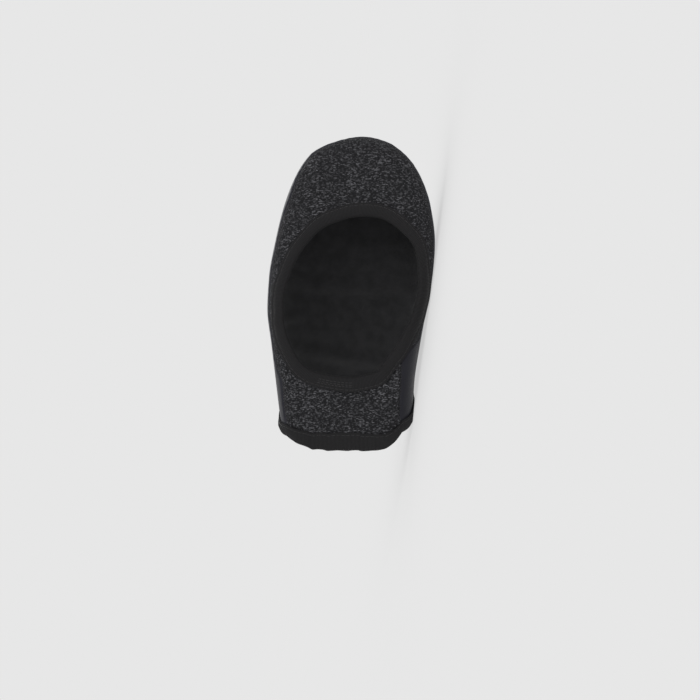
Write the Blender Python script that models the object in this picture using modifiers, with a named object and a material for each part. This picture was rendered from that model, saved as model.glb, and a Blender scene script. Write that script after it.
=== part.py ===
"""Toe cover for a right cycling shoe, lying empty on its inner side. Metres, +Z up.

The cover is worked out in the foot's own directions. Station runs back from the toe tip,
across runs towards the inner (big toe) side, and height runs up from under the ball.
Laid on the floor, the toe points along +X, the underside faces -Y and the inner side is down.
Sweep runs round the outline: -1 at the back of the outer side, 0 at the toe, 1 at the back
of the inner side, and the station is the length times the sweep squared.
"""

import math
from typing import NamedTuple

import bmesh
import bpy
import numpy as np
from mathutils import Matrix

OBJECT_NAME = "cycling_toe_cover"

# Main sizes
LENGTH = 0.178
BALL_WIDTH = 0.095
TOE_CROWN = 0.046
CUFF_CROWN = 0.072
TOE_SPRING = 0.014
ARCH_RISE = 0.012
SIDE_DEPTH = 0.024
TURN_RADIUS = 0.015
OPENING_REACH = 0.046

# Cloth, binding tape and the clearance between pieces
WALL = 0.0018
TAPE = 0.0007
CLEARANCE = 0.0003
SEAM_DIP = 0.0006
HIDDEN_SEAM_EASE = 0.0006
PRESS = 0.0010

# Widths of the binding's flat leaves, past the folded edge
OPENING_LEAF_END = 0.0056
OPENING_LEAF_SIDE = 0.0042
CUFF_LEAF_BACK = 0.0086
CUFF_LEAF_FRONT = 0.0052

# Places and shapes, as shares of the sizes above or plain exponents
BALL_STATION = 0.5
FAN_STATION = 0.225
CUFF_TOP_STATION = 0.83
OPENING_STATION = 0.514
OPENING_ACROSS = 0.006
RIDGE_ACROSS = 0.065
TIP_ACROSS = 0.074
SOLE_POWER = 1.8
CROWN_POWER = 1.6
UNDER_POWER = 2.6
OUTER_SIDE_POWER = 2.1
INNER_SIDE_POWER = 3.8
SIDE_POWER_REACH = 0.5

# Rest: its roll, and the search for the pitch that goes with it
LEAN = math.radians(-2.0)
STEEPEST_PITCH = math.radians(-20.0)
PITCH_ROUNDS = 30

# Mesh density, and the steps that slopes are measured over
SEAM_COLUMNS = 64
BACK_COLUMNS = 12
SIDE_ROWS = 12
OUTLINE_SAMPLES = 1200
OUTLINE_END = 1.05
COLUMN_EVENNESS = 0.25
ROW_EVENNESS = 1.3
SWEEP_STEP = 0.002
TURN_STEP = 0.01
MERGE_DISTANCE = 0.00001
SHARP_ANGLE = math.radians(60.0)


class Width(NamedTuple):
    """Half widths of the outline, as shares of BALL_WIDTH, at a share of LENGTH."""

    station: float
    outer: float
    inner: float


OUTLINE = (
    Width(0.008, 0.037, 0.176),
    Width(0.025, 0.134, 0.253),
    Width(0.048, 0.217, 0.312),
    Width(0.084, 0.277, 0.374),
    Width(0.140, 0.335, 0.433),
    Width(0.225, 0.394, 0.483),
    Width(0.337, 0.445, 0.508),
    Width(0.449, 0.482, 0.497),
    Width(0.551, 0.492, 0.458),
    Width(0.663, 0.468, 0.419),
    Width(0.787, 0.441, 0.385),
    Width(0.871, 0.423, 0.377),
    Width(0.927, 0.409, 0.370),
    Width(1.000, 0.395, 0.360),
    Width(1.120, 0.375, 0.340),
)


class Depth(NamedTuple):
    """Depth from the widest line to the underside, as shares of SIDE_DEPTH."""

    station: float
    outer: float
    inner: float


DEPTHS = (
    Depth(0.000, 0.46, 0.46),
    Depth(0.140, 0.58, 0.72),
    Depth(0.337, 0.72, 0.94),
    Depth(0.551, 0.76, 1.00),
    Depth(0.787, 0.80, 0.96),
    Depth(1.120, 0.80, 0.88),
)


class Tuck(NamedTuple):
    """How far the seam lies inside the outline, as shares of TURN_RADIUS."""

    station: float
    outer: float
    inner: float


SEAM = (
    Tuck(0.000, 0.035, 0.035),
    Tuck(0.140, 0.100, 0.045),
    Tuck(0.200, 0.140, 0.055),
    Tuck(0.270, 0.080, 0.060),
    Tuck(0.640, 0.070, 0.065),
    Tuck(0.690, 0.065, 0.420),
    Tuck(0.725, 0.070, 0.600),
    Tuck(0.790, 0.250, 0.540),
    Tuck(0.870, 0.215, 0.530),
    Tuck(0.930, 0.225, 0.420),
    Tuck(1.120, 0.230, 0.380),
)


class Cuff(NamedTuple):
    """Stations of the cuff's edge on the sides, as shares of LENGTH.

    Place is -1 at the seam, 0 on the widest line and 1 on the ridge of the instep.
    """

    place: float
    outer: float
    inner: float


CUFF_SIDES = (
    Cuff(-1.00, 0.958, 0.947),
    Cuff(-0.50, 0.950, 0.925),
    Cuff(0.00, 0.938, 0.872),
    Cuff(0.25, 0.905, 0.850),
    Cuff(0.60, 0.855, 0.834),
    Cuff(1.00, 0.828, 0.828),
)


class Hem(NamedTuple):
    """Stations of the cuff's edge underneath, as shares of LENGTH.

    Share is 0 at the outer end of the seam and 1 at its inner end.
    """

    share: float
    station: float


CUFF_UNDERSIDE = (
    Hem(0.00, 0.958),
    Hem(0.10, 0.972),
    Hem(0.20, 0.986),
    Hem(0.40, 0.997),
    Hem(0.68, 0.997),
    Hem(0.80, 0.987),
    Hem(0.93, 0.966),
    Hem(1.00, 0.947),
)


class Reach(NamedTuple):
    """Reach of the cleat opening, as shares of OPENING_REACH.

    The bearing is in degrees from the toe, turning towards the inner side.
    """

    bearing: float
    reach: float


OPENING = (
    Reach(0.0, 0.965),
    Reach(25.0, 1.025),
    Reach(45.0, 0.995),
    Reach(70.0, 0.880),
    Reach(95.0, 0.797),
    Reach(120.0, 0.775),
    Reach(143.0, 0.828),
    Reach(163.0, 0.955),
    Reach(190.0, 0.962),
    Reach(210.0, 1.003),
    Reach(232.0, 0.935),
    Reach(260.0, 0.840),
    Reach(290.0, 0.795),
    Reach(315.0, 0.822),
    Reach(338.0, 0.905),
)


class Row(NamedTuple):
    """A row of the side wall between the seam and the widest line, and its share of the dip."""

    place: float
    dip: float


LOWER_ROWS = (
    Row(-1.00, 1.0),
    Row(-0.88, 0.4),
    Row(-0.74, 0.0),
    Row(-0.38, 0.0),
)


class Band(NamedTuple):
    """A row of the panel beside its seam: its distance inside it, and its share of the dip.

    Where the panel is narrow the distance is a share of the panel that shows.
    """

    inset: float
    narrow: float
    dip: float


SEAM_BANDS = (
    Band(0.0000, 0.0, 1.0),
    Band(0.0012, 0.3, 0.4),
    Band(0.0025, 0.6, 0.0),
)
PANEL_SHARES = (0.10, 0.26, 0.55)
LEAF_SHARES = (0.0, 0.5, 1.0)
FOLD_ANGLES = (0.25 * math.pi, 0.5 * math.pi, 0.75 * math.pi)


class Cloth(NamedTuple):
    """Colour (linear), roughness and sheen of a material."""

    colour: tuple
    roughness: float
    sheen: float


CLOTHS = {
    "upper_cloth": Cloth((0.017, 0.017, 0.022), 0.62, 0.15),
    "heather_knit": Cloth((0.032, 0.032, 0.035), 0.85, 0.30),
    "binding_tape": Cloth((0.019, 0.018, 0.019), 0.78, 0.25),
}


class Track:
    """A smooth curve through a table's values that doesn't overshoot its rows."""

    def __init__(self, places, values):
        self.places = np.asarray(places, float)
        self.values = np.asarray(values, float)
        step = np.diff(self.places)
        slope = np.diff(self.values) / step
        before = slope[:-1]
        after = slope[1:]
        rising = before * after > 0.0
        heavy = 2.0 * step[1:] + step[:-1]
        light = step[1:] + 2.0 * step[:-1]
        spread = heavy / np.where(rising, before, 1.0) + light / np.where(rising, after, 1.0)
        middle = np.where(rising, (heavy + light) / spread, 0.0)
        self.slopes = np.concatenate([slope[:1], middle, slope[-1:]])

    def __call__(self, place):
        """Read the curve at one place or at an array of places."""
        place = np.asarray(place, float)
        last = len(self.places) - 2
        index = np.clip(np.searchsorted(self.places, place) - 1, 0, last)
        step = self.places[index + 1] - self.places[index]
        t = (place - self.places[index]) / step
        rest = 1.0 - t
        start = self.values[index] * (1.0 + 2.0 * t) + self.slopes[index] * step * t
        end = self.values[index + 1] * (3.0 - 2.0 * t) - self.slopes[index + 1] * step * rest
        return start * rest**2 + end * t**2


def round_track(table, tip=None):
    """Make a track over the sweep from a table of outer and inner values."""
    rows = [row for row in table if row.station > 0.0]
    if tip is None:
        tip = table[0].inner
    sweeps = [math.sqrt(row.station) for row in rows]
    places = [-sweep for sweep in reversed(sweeps)] + [0.0] + sweeps
    values = [row.outer for row in reversed(rows)] + [tip] + [row.inner for row in rows]
    return Track(places, values)


def outline_track():
    """Make the track of the outline's signed half width."""
    rows = [Width(row.station, -row.outer, row.inner) for row in OUTLINE]
    return round_track(rows, TIP_ACROSS)


def opening_track():
    """Make the track of the cleat opening's reach over a turn and its two neighbours."""
    full_turn = 360.0
    places = []
    values = []
    for turn in (-full_turn, 0.0, full_turn):
        places += [row.bearing + turn for row in OPENING]
        values += [row.reach for row in OPENING]
    return Track(places, values)


HALF_WIDTH = outline_track()
DEPTH = round_track(DEPTHS)
TUCK = round_track(SEAM)
CUFF_OUTER = Track([row.place for row in CUFF_SIDES], [row.outer for row in CUFF_SIDES])
CUFF_INNER = Track([row.place for row in CUFF_SIDES], [row.inner for row in CUFF_SIDES])
HEM = Track([row.share for row in CUFF_UNDERSIDE], [row.station for row in CUFF_UNDERSIDE])
OPENING_EDGE = opening_track()

FOLD_RADIUS = WALL / 2.0 + CLEARANCE + TAPE
COVER_LIFT = CLEARANCE + TAPE


def smooth_share(value):
    """Ease a value from 0 to 1, level at both ends."""
    share = np.clip(value, 0.0, 1.0)
    return share**2 * (3.0 - 2.0 * share)


def outline(sweep):
    """Plan position of the outline at a sweep: station and across."""
    return np.stack([LENGTH * sweep**2, BALL_WIDTH * HALF_WIDTH(sweep)], axis=-1)


def outline_inward(sweep):
    """Unit plan direction that points from the outline into the cover."""
    run = outline(sweep + SWEEP_STEP) - outline(sweep - SWEEP_STEP)
    inward = np.stack([run[..., 1], -run[..., 0]], axis=-1)
    return inward / np.linalg.norm(inward, axis=-1, keepdims=True)


def sole_height(station):
    """Height of the underside's middle: it springs up at the toe and rises to the arch."""
    ball = BALL_STATION * LENGTH
    to_toe = np.clip((ball - station) / ball, 0.0, None)
    to_arch = np.clip((station - ball) / (LENGTH - ball), 0.0, None)
    return TOE_SPRING * to_toe**SOLE_POWER + ARCH_RISE * to_arch**SOLE_POWER


def crown_height(station):
    """Height of the ridge along the top, level at the toe box."""
    fan = FAN_STATION * LENGTH
    along = np.clip((station - fan) / (CUFF_TOP_STATION * LENGTH - fan), 0.0, None)
    return TOE_CROWN + (CUFF_CROWN - TOE_CROWN) * along**CROWN_POWER


def depth(sweep):
    """Depth from the widest line to the underside."""
    return SIDE_DEPTH * DEPTH(sweep)


def side_power(sweep):
    """Exponent of the side's rounding: full on the outer side, steep on the inner side."""
    share = smooth_share(0.5 + 0.5 * sweep / SIDE_POWER_REACH)
    return OUTER_SIDE_POWER + (INNER_SIDE_POWER - OUTER_SIDE_POWER) * share


def turned_under(sweep, turn):
    """Point of the edge that turns under: turn is 0 on the widest line, pi/2 underneath."""
    inset = TURN_RADIUS * (1.0 - np.cos(turn) ** (2.0 / UNDER_POWER))
    plan = outline(sweep) + outline_inward(sweep) * inset[..., None]
    lift = depth(sweep) * (1.0 - np.sin(turn) ** (2.0 / UNDER_POWER))
    return np.concatenate([plan, (sole_height(plan[..., 0]) + lift)[..., None]], axis=-1)


def seam_turn(sweep):
    """Turn at which the seam lies."""
    return np.arccos((1.0 - TUCK(sweep)) ** (UNDER_POWER / 2.0))


def cuff_sweep(side, place, inset=0.0):
    """Sweep of the cloth's edge at the cuff, or of a line that lies inset from it."""
    share = CUFF_INNER(place) if side > 0 else CUFF_OUTER(place)
    return side * math.sqrt((share * LENGTH - FOLD_RADIUS - inset) / LENGTH)


def cuff_inset(sweep, place):
    """Distance of points on one row from the row's end at the cuff."""
    end = np.where(sweep > 0.0, cuff_sweep(1, place), cuff_sweep(-1, place))
    return LENGTH * (end**2 - sweep**2)


def beyond_binding(inset):
    """Grow from 0 under the cuff's binding to 1 a leaf's width past it."""
    return smooth_share((inset - CUFF_LEAF_FRONT) / CUFF_LEAF_FRONT)


def seam_margin(sweep):
    """Turn that half the seam's clearance takes up; it opens where the binding hides it."""
    turn = seam_turn(sweep)
    run = turned_under(sweep, turn + TURN_STEP) - turned_under(sweep, turn)
    clearance = CLEARANCE + HIDDEN_SEAM_EASE * (1.0 - beyond_binding(cuff_inset(sweep, -1.0)))
    return 0.5 * clearance * TURN_STEP / np.linalg.norm(run, axis=-1)


OUTLINE_SWEEPS = np.linspace(-OUTLINE_END, OUTLINE_END, OUTLINE_SAMPLES)
OUTLINE_POINTS = outline(OUTLINE_SWEEPS)
OUTLINE_INWARDS = outline_inward(OUTLINE_SWEEPS)


def underside(plan):
    """Lift plan points onto the underside, which turns up towards the outline."""
    flat = plan.reshape(-1, 2)
    offsets = flat[:, None, :] - OUTLINE_POINTS[None, :, :]
    nearest = np.argmin((offsets**2).sum(axis=-1), axis=1)
    offset = flat - OUTLINE_POINTS[nearest]
    inset = (offset * OUTLINE_INWARDS[nearest]).sum(axis=-1)
    share = np.clip(1.0 - inset / TURN_RADIUS, 0.0, 1.0)
    lift = 1.0 - (1.0 - share**UNDER_POWER) ** (1.0 / UNDER_POWER)
    height = sole_height(flat[:, 0]) + depth(OUTLINE_SWEEPS[nearest]) * lift
    return np.concatenate([flat, height[:, None]], axis=-1).reshape(plan.shape[:-1] + (3,))


def side_wall(sweep, place):
    """Points of the upper: place is -1 at the seam, 0 on the widest line, 1 on the ridge."""
    if place <= 0.0:
        turn = -place * seam_turn(sweep)
        if place == -1.0:
            turn = turn - seam_margin(sweep)
        return turned_under(sweep, turn)
    start = outline(sweep)
    end_station = np.maximum(start[..., 0], FAN_STATION * LENGTH)
    end = np.stack([end_station, np.full_like(end_station, RIDGE_ACROSS * BALL_WIDTH)], axis=-1)
    turn = 0.5 * math.pi * place**ROW_EVENNESS
    power = 2.0 / side_power(sweep)
    inset = 1.0 - math.cos(turn) ** power if place < 1.0 else np.ones_like(power)
    plan = start + (end - start) * inset[..., None]
    level = sole_height(start[..., 0]) + depth(sweep)
    height = level + (crown_height(end_station) - level) * math.sin(turn) ** power
    return np.concatenate([plan, height[..., None]], axis=-1)


def column_sweeps(place):
    """Sweeps of the upper's columns on one row, closer together towards the cuff."""
    share = np.linspace(-1.0, 1.0, SEAM_COLUMNS + 1)
    share = share * (1.0 + COLUMN_EVENNESS) - COLUMN_EVENNESS * share**3
    limit = np.where(share > 0.0, cuff_sweep(1, place), -cuff_sweep(-1, place))
    return share * limit


def wall_places():
    """Places of the upper's rows, from the seam up to the ridge."""
    side = np.linspace(0.0, 1.0, SIDE_ROWS + 1)
    return [row.place for row in LOWER_ROWS] + list(side)


def upper_rows():
    """Rows of the upper, from the seam up to the ridge."""
    return np.array([side_wall(column_sweeps(place), place) for place in wall_places()])


def hem_shares():
    """Shares of the hem at which its columns lie, closer together at the seam's ends."""
    turn = np.linspace(0.0, math.pi, BACK_COLUMNS + 1)[1:-1]
    return 0.5 - 0.5 * np.cos(turn)


def hem_plan(share, inset=0.0):
    """Plan points of the cloth's edge underneath the cuff, or of a line inset from it."""
    sweeps = np.array([cuff_sweep(-1, -1.0), cuff_sweep(1, -1.0)])
    ends = turned_under(sweeps, seam_turn(sweeps))
    across = ends[0, 1] + (ends[1, 1] - ends[0, 1]) * share
    return np.stack([HEM(share) * LENGTH - FOLD_RADIUS - inset, across], axis=-1)


def panel_outer_plan():
    """Plan points round the sole panel: along the seam, then back along the cuff."""
    sweep = column_sweeps(-1.0)
    seam = turned_under(sweep, seam_turn(sweep) + seam_margin(sweep))[:, :2]
    return np.concatenate([seam, hem_plan(hem_shares()[::-1])])


def opening_centre():
    """Plan position that the opening's bearings turn about."""
    return np.array([OPENING_STATION * LENGTH, OPENING_ACROSS * BALL_WIDTH])


def opening_plan(bearing, inset):
    """Plan points of the cloth's edge at the opening, or of a line inset from it."""
    reach = OPENING_REACH * OPENING_EDGE(np.degrees(bearing)) + FOLD_RADIUS + inset
    towards = np.stack([-np.cos(bearing), np.sin(bearing)], axis=-1)
    return opening_centre() + towards * reach[..., None]


def panel_bearings():
    """Bearings of the panel's columns about the opening's centre."""
    offset = panel_outer_plan() - opening_centre()
    return np.arctan2(offset[:, 1], -offset[:, 0])


def panel_rows():
    """Rows of the sole panel, from its outside to the opening."""
    outer = panel_outer_plan()
    bearing = panel_bearings()
    leaf = opening_leaf(bearing)
    covered = [opening_plan(bearing, leaf * share) for share in LEAF_SHARES[::-1]]
    width = np.linalg.norm(covered[0] - outer, axis=-1, keepdims=True)
    inwards = (covered[0] - outer) / width
    insets = [np.minimum(band.inset, width * band.narrow) for band in SEAM_BANDS]
    insets += [insets[-1] + (width - insets[-1]) * share for share in PANEL_SHARES]
    plans = [outer + inwards * inset for inset in insets]
    return underside(np.array(plans + covered))


def opening_leaf(bearing):
    """Width of the opening's binding, which is wider in front and behind than beside."""
    return OPENING_LEAF_SIDE + (OPENING_LEAF_END - OPENING_LEAF_SIDE) * np.cos(bearing) ** 2


def opening_rings():
    """Rings of cloth under the opening's binding, from its edge to the leaf's edge."""
    bearing = panel_bearings()
    leaf = opening_leaf(bearing)
    return np.array([underside(opening_plan(bearing, leaf * share)) for share in LEAF_SHARES])


def cuff_ring(leaf_share):
    """One ring of cloth round the cuff, inset from its edge by a share of the leaf."""
    places = wall_places()
    points = []
    for side, ordered in ((1, places), (-1, places[::-1][1:])):
        for place in ordered:
            inset = leaf_share * CUFF_LEAF_FRONT
            sweep = np.array(cuff_sweep(side, place, inset))
            points.append(side_wall(sweep, place))
    share = hem_shares()
    middle = np.sqrt(np.sin(math.pi * share))
    leaf = CUFF_LEAF_FRONT + (CUFF_LEAF_BACK - CUFF_LEAF_FRONT) * middle
    return np.concatenate([np.array(points), underside(hem_plan(share, leaf_share * leaf))])


def cuff_rings():
    """Rings of cloth under the cuff's binding, from its edge to the leaf's edge."""
    return np.array([cuff_ring(share) for share in LEAF_SHARES])


def to_floor_axes(points):
    """Turn foot directions into floor directions: toe +X, instep +Y, outer side up."""
    return np.stack([-points[..., 0], points[..., 2], -points[..., 1]], axis=-1)


def loft(rows, closed):
    """Join rows of points with faces, each row one line of the mesh."""
    mesh = bmesh.new()
    lines = [[mesh.verts.new(point) for point in row] for row in rows]
    columns = len(lines[0])
    for line, above in zip(lines, lines[1:]):
        for index in range(columns if closed else columns - 1):
            after = (index + 1) % columns
            mesh.faces.new((line[index], line[after], above[after], above[index]))
    mesh.normal_update()
    return mesh, lines


def line_normals(rows, closed):
    """Surface normals at the points of a loft."""
    mesh, lines = loft(rows, closed)
    normals = np.array([[tuple(vert.normal) for vert in line] for line in lines])
    mesh.free()
    return normals


class Rest(NamedTuple):
    """How the cover lies: its turn and how far its lowest point is below zero."""

    turn: np.ndarray
    low: float


def turn_matrix(roll, pitch):
    """Turn about the toe's direction and then about the level direction across it."""
    return np.array(Matrix.Rotation(roll, 3, "X") @ Matrix.Rotation(pitch, 3, "Y"))


def find_rest():
    """Tilt the leaning cover until the side of its ball and its cuff touch the floor."""
    ball = to_floor_axes(upper_rows()).reshape(-1, 3)
    rings = to_floor_axes(cuff_rings())
    cuff = (rings + COVER_LIFT * line_normals(rings, True)).reshape(-1, 3)
    high_toe = STEEPEST_PITCH
    low_toe = 0.0
    for _ in range(PITCH_ROUNDS):
        pitch = 0.5 * (high_toe + low_toe)
        up = turn_matrix(LEAN, pitch)[2]
        if (ball @ up).min() < (cuff @ up).min():
            low_toe = pitch
        else:
            high_toe = pitch
    turn = turn_matrix(LEAN, pitch)
    return Rest(turn, (ball @ turn[2]).min() + PRESS)


def laid(points, rest, lift=0.0):
    """Lay points on the floor and press flat what would be under it."""
    points = to_floor_axes(points) @ rest.turn.T
    height = np.maximum(points[..., 2] - rest.low, lift)
    return np.concatenate([points[..., :2], height[..., None]], axis=-1)


def dip(lines, shares, insets):
    """Sink rows of points into the cloth, to make the seam's groove up to the binding."""
    moves = []
    for line, share in zip(lines, shares):
        for vert, fade in zip(line, beyond_binding(insets)):
            moves.append((vert, vert.normal * (SEAM_DIP * share * float(fade))))
    for vert, move in moves:
        vert.co -= move


def make_material(name):
    """Make a cloth's material."""
    cloth = CLOTHS[name]
    material = bpy.data.materials.new(name)
    material.use_nodes = True
    shader = material.node_tree.nodes["Principled BSDF"]
    shader.inputs["Base Color"].default_value = (*cloth.colour, 1.0)
    shader.inputs["Roughness"].default_value = cloth.roughness
    shader.inputs["Metallic"].default_value = 0.0
    shader.inputs["Sheen Weight"].default_value = cloth.sheen
    material.diffuse_color = (*cloth.colour, 1.0)
    return material


def make_object(name, surface, thickness, offset, material, collection):
    """Turn an open surface into a wall of cloth in an object of its own."""
    mesh = bpy.data.meshes.new(name)
    surface.to_mesh(mesh)
    surface.free()
    mesh.shade_smooth()
    mesh.set_sharp_from_angle(angle=SHARP_ANGLE)
    mesh.materials.append(material)
    item = bpy.data.objects.new(name, mesh)
    collection.objects.link(item)
    wall = item.modifiers.new("wall", "SOLIDIFY")
    wall.thickness = thickness
    wall.offset = offset
    wall.use_rim = True
    wall.use_quality_normals = True
    return item


def make_upper(rest, material, collection):
    """The hollow upper: toe, sides and instep, open at the cuff and underneath."""
    insets = np.array([cuff_inset(column_sweeps(place), place) for place in wall_places()])
    lift = COVER_LIFT * (1.0 - beyond_binding(insets))
    surface, lines = loft(laid(upper_rows(), rest, lift), closed=False)
    dip(lines, [row.dip for row in LOWER_ROWS], insets[0])
    bmesh.ops.remove_doubles(surface, verts=surface.verts, dist=MERGE_DISTANCE)
    return make_object("upper", surface, WALL, -1.0, material, collection)


def make_sole_panel(rest, material, collection):
    """The underside: toe, two rails and a bridge round the cleat opening."""
    surface, lines = loft(laid(panel_rows(), rest), closed=True)
    bmesh.ops.reverse_faces(surface, faces=surface.faces)
    surface.normal_update()
    dip(lines, [band.dip for band in SEAM_BANDS], cuff_inset(column_sweeps(-1.0), -1.0))
    return make_object("sole_panel", surface, WALL, -1.0, material, collection)


def make_binding(name, rings, material, collection):
    """A tape folded round a raw edge: outer leaf, fold, and an inner leaf half as wide."""
    normals = line_normals(rings, True)
    middle = rings[0] - normals[0] * (WALL / 2.0)
    edge = rings[0] - rings[1]
    edge = edge - normals[0] * (edge * normals[0]).sum(axis=-1, keepdims=True)
    edge = edge / np.linalg.norm(edge, axis=-1, keepdims=True)
    radius = WALL / 2.0 + CLEARANCE
    outer = (rings + normals * CLEARANCE)[::-1]
    fold = [normals[0] * math.cos(angle) + edge * math.sin(angle) for angle in FOLD_ANGLES]
    inner = (rings - normals * (WALL + CLEARANCE))[:-1]
    surface, _ = loft(np.concatenate([outer, middle + radius * np.array(fold), inner]), closed=True)
    return make_object(name, surface, TAPE, -1.0, material, collection)


def make_cleat_binding(rest, material, collection):
    """The binding round the cleat opening."""
    rings = laid(opening_rings(), rest)
    return make_binding("cleat_binding", rings, material, collection)


def make_cuff_binding(rest, material, collection):
    """The binding round the cuff."""
    rings = laid(cuff_rings(), rest, COVER_LIFT)
    return make_binding("collar_binding", rings, material, collection)


def centre_on_origin(items):
    """Hold the pieces by an empty that sets the middle of their footprint over the origin."""
    bpy.context.view_layer.update()
    graph = bpy.context.evaluated_depsgraph_get()
    corners = []
    for item in items:
        mesh = item.evaluated_get(graph).to_mesh()
        corners += [tuple(vert.co) for vert in mesh.vertices]
    corners = np.array(corners)
    middle = (corners.min(axis=0) + corners.max(axis=0)) / 2.0
    seat = bpy.data.objects.new("seat", None)
    bpy.context.scene.collection.objects.link(seat)
    seat.location = (-middle[0], -middle[1], -corners[:, 2].min())
    for item in items:
        item.parent = seat


def main():
    """Build the cover."""
    for item in list(bpy.data.objects):
        bpy.data.objects.remove(item)
    collection = bpy.data.collections.new(OBJECT_NAME)
    bpy.context.scene.collection.children.link(collection)
    upper_cloth = make_material("upper_cloth")
    heather_knit = make_material("heather_knit")
    binding_tape = make_material("binding_tape")
    rest = find_rest()
    items = [
        make_upper(rest, upper_cloth, collection),
        make_sole_panel(rest, heather_knit, collection),
        make_cleat_binding(rest, binding_tape, collection),
        make_cuff_binding(rest, binding_tape, collection),
    ]
    centre_on_origin(items)


main()
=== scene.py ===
"""Dress a toe cover for a right cycling shoe, which lies empty on its inner side.

The cover is worked out in the foot's own directions, as its solids are. Station runs back from
the toe tip, across runs towards the inner side, and height runs up from under the ball. Sweep
runs round the outline: -1 at the back of the outer side, 0 at the toe, 1 at the back of the
inner side. Rest lays the foot's directions on the floor. Everything is in metres.
"""

import logging
import math
from dataclasses import dataclass, field
from enum import Enum
from typing import NamedTuple, Sequence

import bpy
import numpy as np
from mathutils import Matrix, Vector

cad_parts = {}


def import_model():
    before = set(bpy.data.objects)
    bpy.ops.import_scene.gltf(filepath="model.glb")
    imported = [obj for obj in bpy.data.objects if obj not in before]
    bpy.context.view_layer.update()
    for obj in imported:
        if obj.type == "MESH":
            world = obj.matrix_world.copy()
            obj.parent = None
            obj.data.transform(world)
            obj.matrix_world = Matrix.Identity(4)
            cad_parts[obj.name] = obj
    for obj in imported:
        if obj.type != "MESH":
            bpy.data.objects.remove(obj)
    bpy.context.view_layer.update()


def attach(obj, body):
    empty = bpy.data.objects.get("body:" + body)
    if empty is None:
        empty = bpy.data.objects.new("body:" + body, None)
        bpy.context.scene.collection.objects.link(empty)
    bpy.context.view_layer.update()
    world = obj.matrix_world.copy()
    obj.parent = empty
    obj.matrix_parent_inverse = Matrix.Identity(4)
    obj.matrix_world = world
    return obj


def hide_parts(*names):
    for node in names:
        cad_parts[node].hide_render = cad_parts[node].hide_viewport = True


LOG = logging.getLogger("toe_cover")
BODY = "root"
MILLIMETRE = 0.001
FULL_TURN = 2.0 * math.pi


class Side(Enum):
    """The two sides of the foot, by the sign of their sweep."""

    OUTER = -1
    INNER = 1


class Stitching(Enum):
    """How stitches lie along their line: end to end, or slanting to and fro across it."""

    STRAIGHT = 0.0
    ZIGZAG = 1.0


class SidePair(NamedTuple):
    """Two values at a share of the length, or at a place up the side."""

    at: float
    outer: float
    inner: float


class Knot(NamedTuple):
    """One value at a share or a bearing."""

    at: float
    value: float


OUTLINE = (
    SidePair(0.008, 0.037, 0.176),
    SidePair(0.025, 0.134, 0.253),
    SidePair(0.048, 0.217, 0.312),
    SidePair(0.084, 0.277, 0.374),
    SidePair(0.140, 0.335, 0.433),
    SidePair(0.225, 0.394, 0.483),
    SidePair(0.337, 0.445, 0.508),
    SidePair(0.449, 0.482, 0.497),
    SidePair(0.551, 0.492, 0.458),
    SidePair(0.663, 0.468, 0.419),
    SidePair(0.787, 0.441, 0.385),
    SidePair(0.871, 0.423, 0.377),
    SidePair(0.927, 0.409, 0.370),
    SidePair(1.000, 0.395, 0.360),
    SidePair(1.120, 0.375, 0.340),
)

DEPTHS = (
    SidePair(0.000, 0.46, 0.46),
    SidePair(0.140, 0.58, 0.72),
    SidePair(0.337, 0.72, 0.94),
    SidePair(0.551, 0.76, 1.00),
    SidePair(0.787, 0.80, 0.96),
    SidePair(1.120, 0.80, 0.88),
)

TUCKS = (
    SidePair(0.000, 0.035, 0.035),
    SidePair(0.140, 0.100, 0.045),
    SidePair(0.200, 0.140, 0.055),
    SidePair(0.270, 0.080, 0.060),
    SidePair(0.640, 0.070, 0.065),
    SidePair(0.690, 0.065, 0.420),
    SidePair(0.725, 0.070, 0.600),
    SidePair(0.790, 0.250, 0.540),
    SidePair(0.870, 0.215, 0.530),
    SidePair(0.930, 0.225, 0.420),
    SidePair(1.120, 0.230, 0.380),
)

CUFF_SIDES = (
    SidePair(-1.00, 0.958, 0.947),
    SidePair(-0.50, 0.950, 0.925),
    SidePair(0.00, 0.938, 0.872),
    SidePair(0.25, 0.905, 0.850),
    SidePair(0.60, 0.855, 0.834),
    SidePair(1.00, 0.828, 0.828),
)

CUFF_UNDERSIDE = (
    Knot(0.000, 0.958),
    Knot(0.040, 0.968),
    Knot(0.080, 0.977),
    Knot(0.165, 0.989),
    Knot(0.220, 0.996),
    Knot(0.400, 1.000),
    Knot(0.680, 1.001),
    Knot(0.830, 0.997),
    Knot(0.900, 0.986),
    Knot(0.945, 0.973),
    Knot(1.000, 0.947),
)

OPENING = (
    Knot(0.0, 0.965),
    Knot(25.0, 1.025),
    Knot(45.0, 0.995),
    Knot(70.0, 0.880),
    Knot(95.0, 0.797),
    Knot(120.0, 0.775),
    Knot(143.0, 0.828),
    Knot(163.0, 0.963),
    Knot(190.0, 0.976),
    Knot(210.0, 1.010),
    Knot(232.0, 0.935),
    Knot(260.0, 0.840),
    Knot(290.0, 0.795),
    Knot(315.0, 0.822),
    Knot(338.0, 0.905),
)


def smooth_share(value: np.ndarray | float) -> np.ndarray:
    """Ease a value from 0 to 1, level at both ends."""
    share = np.clip(value, 0.0, 1.0)
    return share**2 * (3.0 - 2.0 * share)


def unit(vectors: np.ndarray) -> np.ndarray:
    """Scale vectors to a length of 1."""
    return vectors / np.linalg.norm(vectors, axis=-1, keepdims=True)


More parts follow.
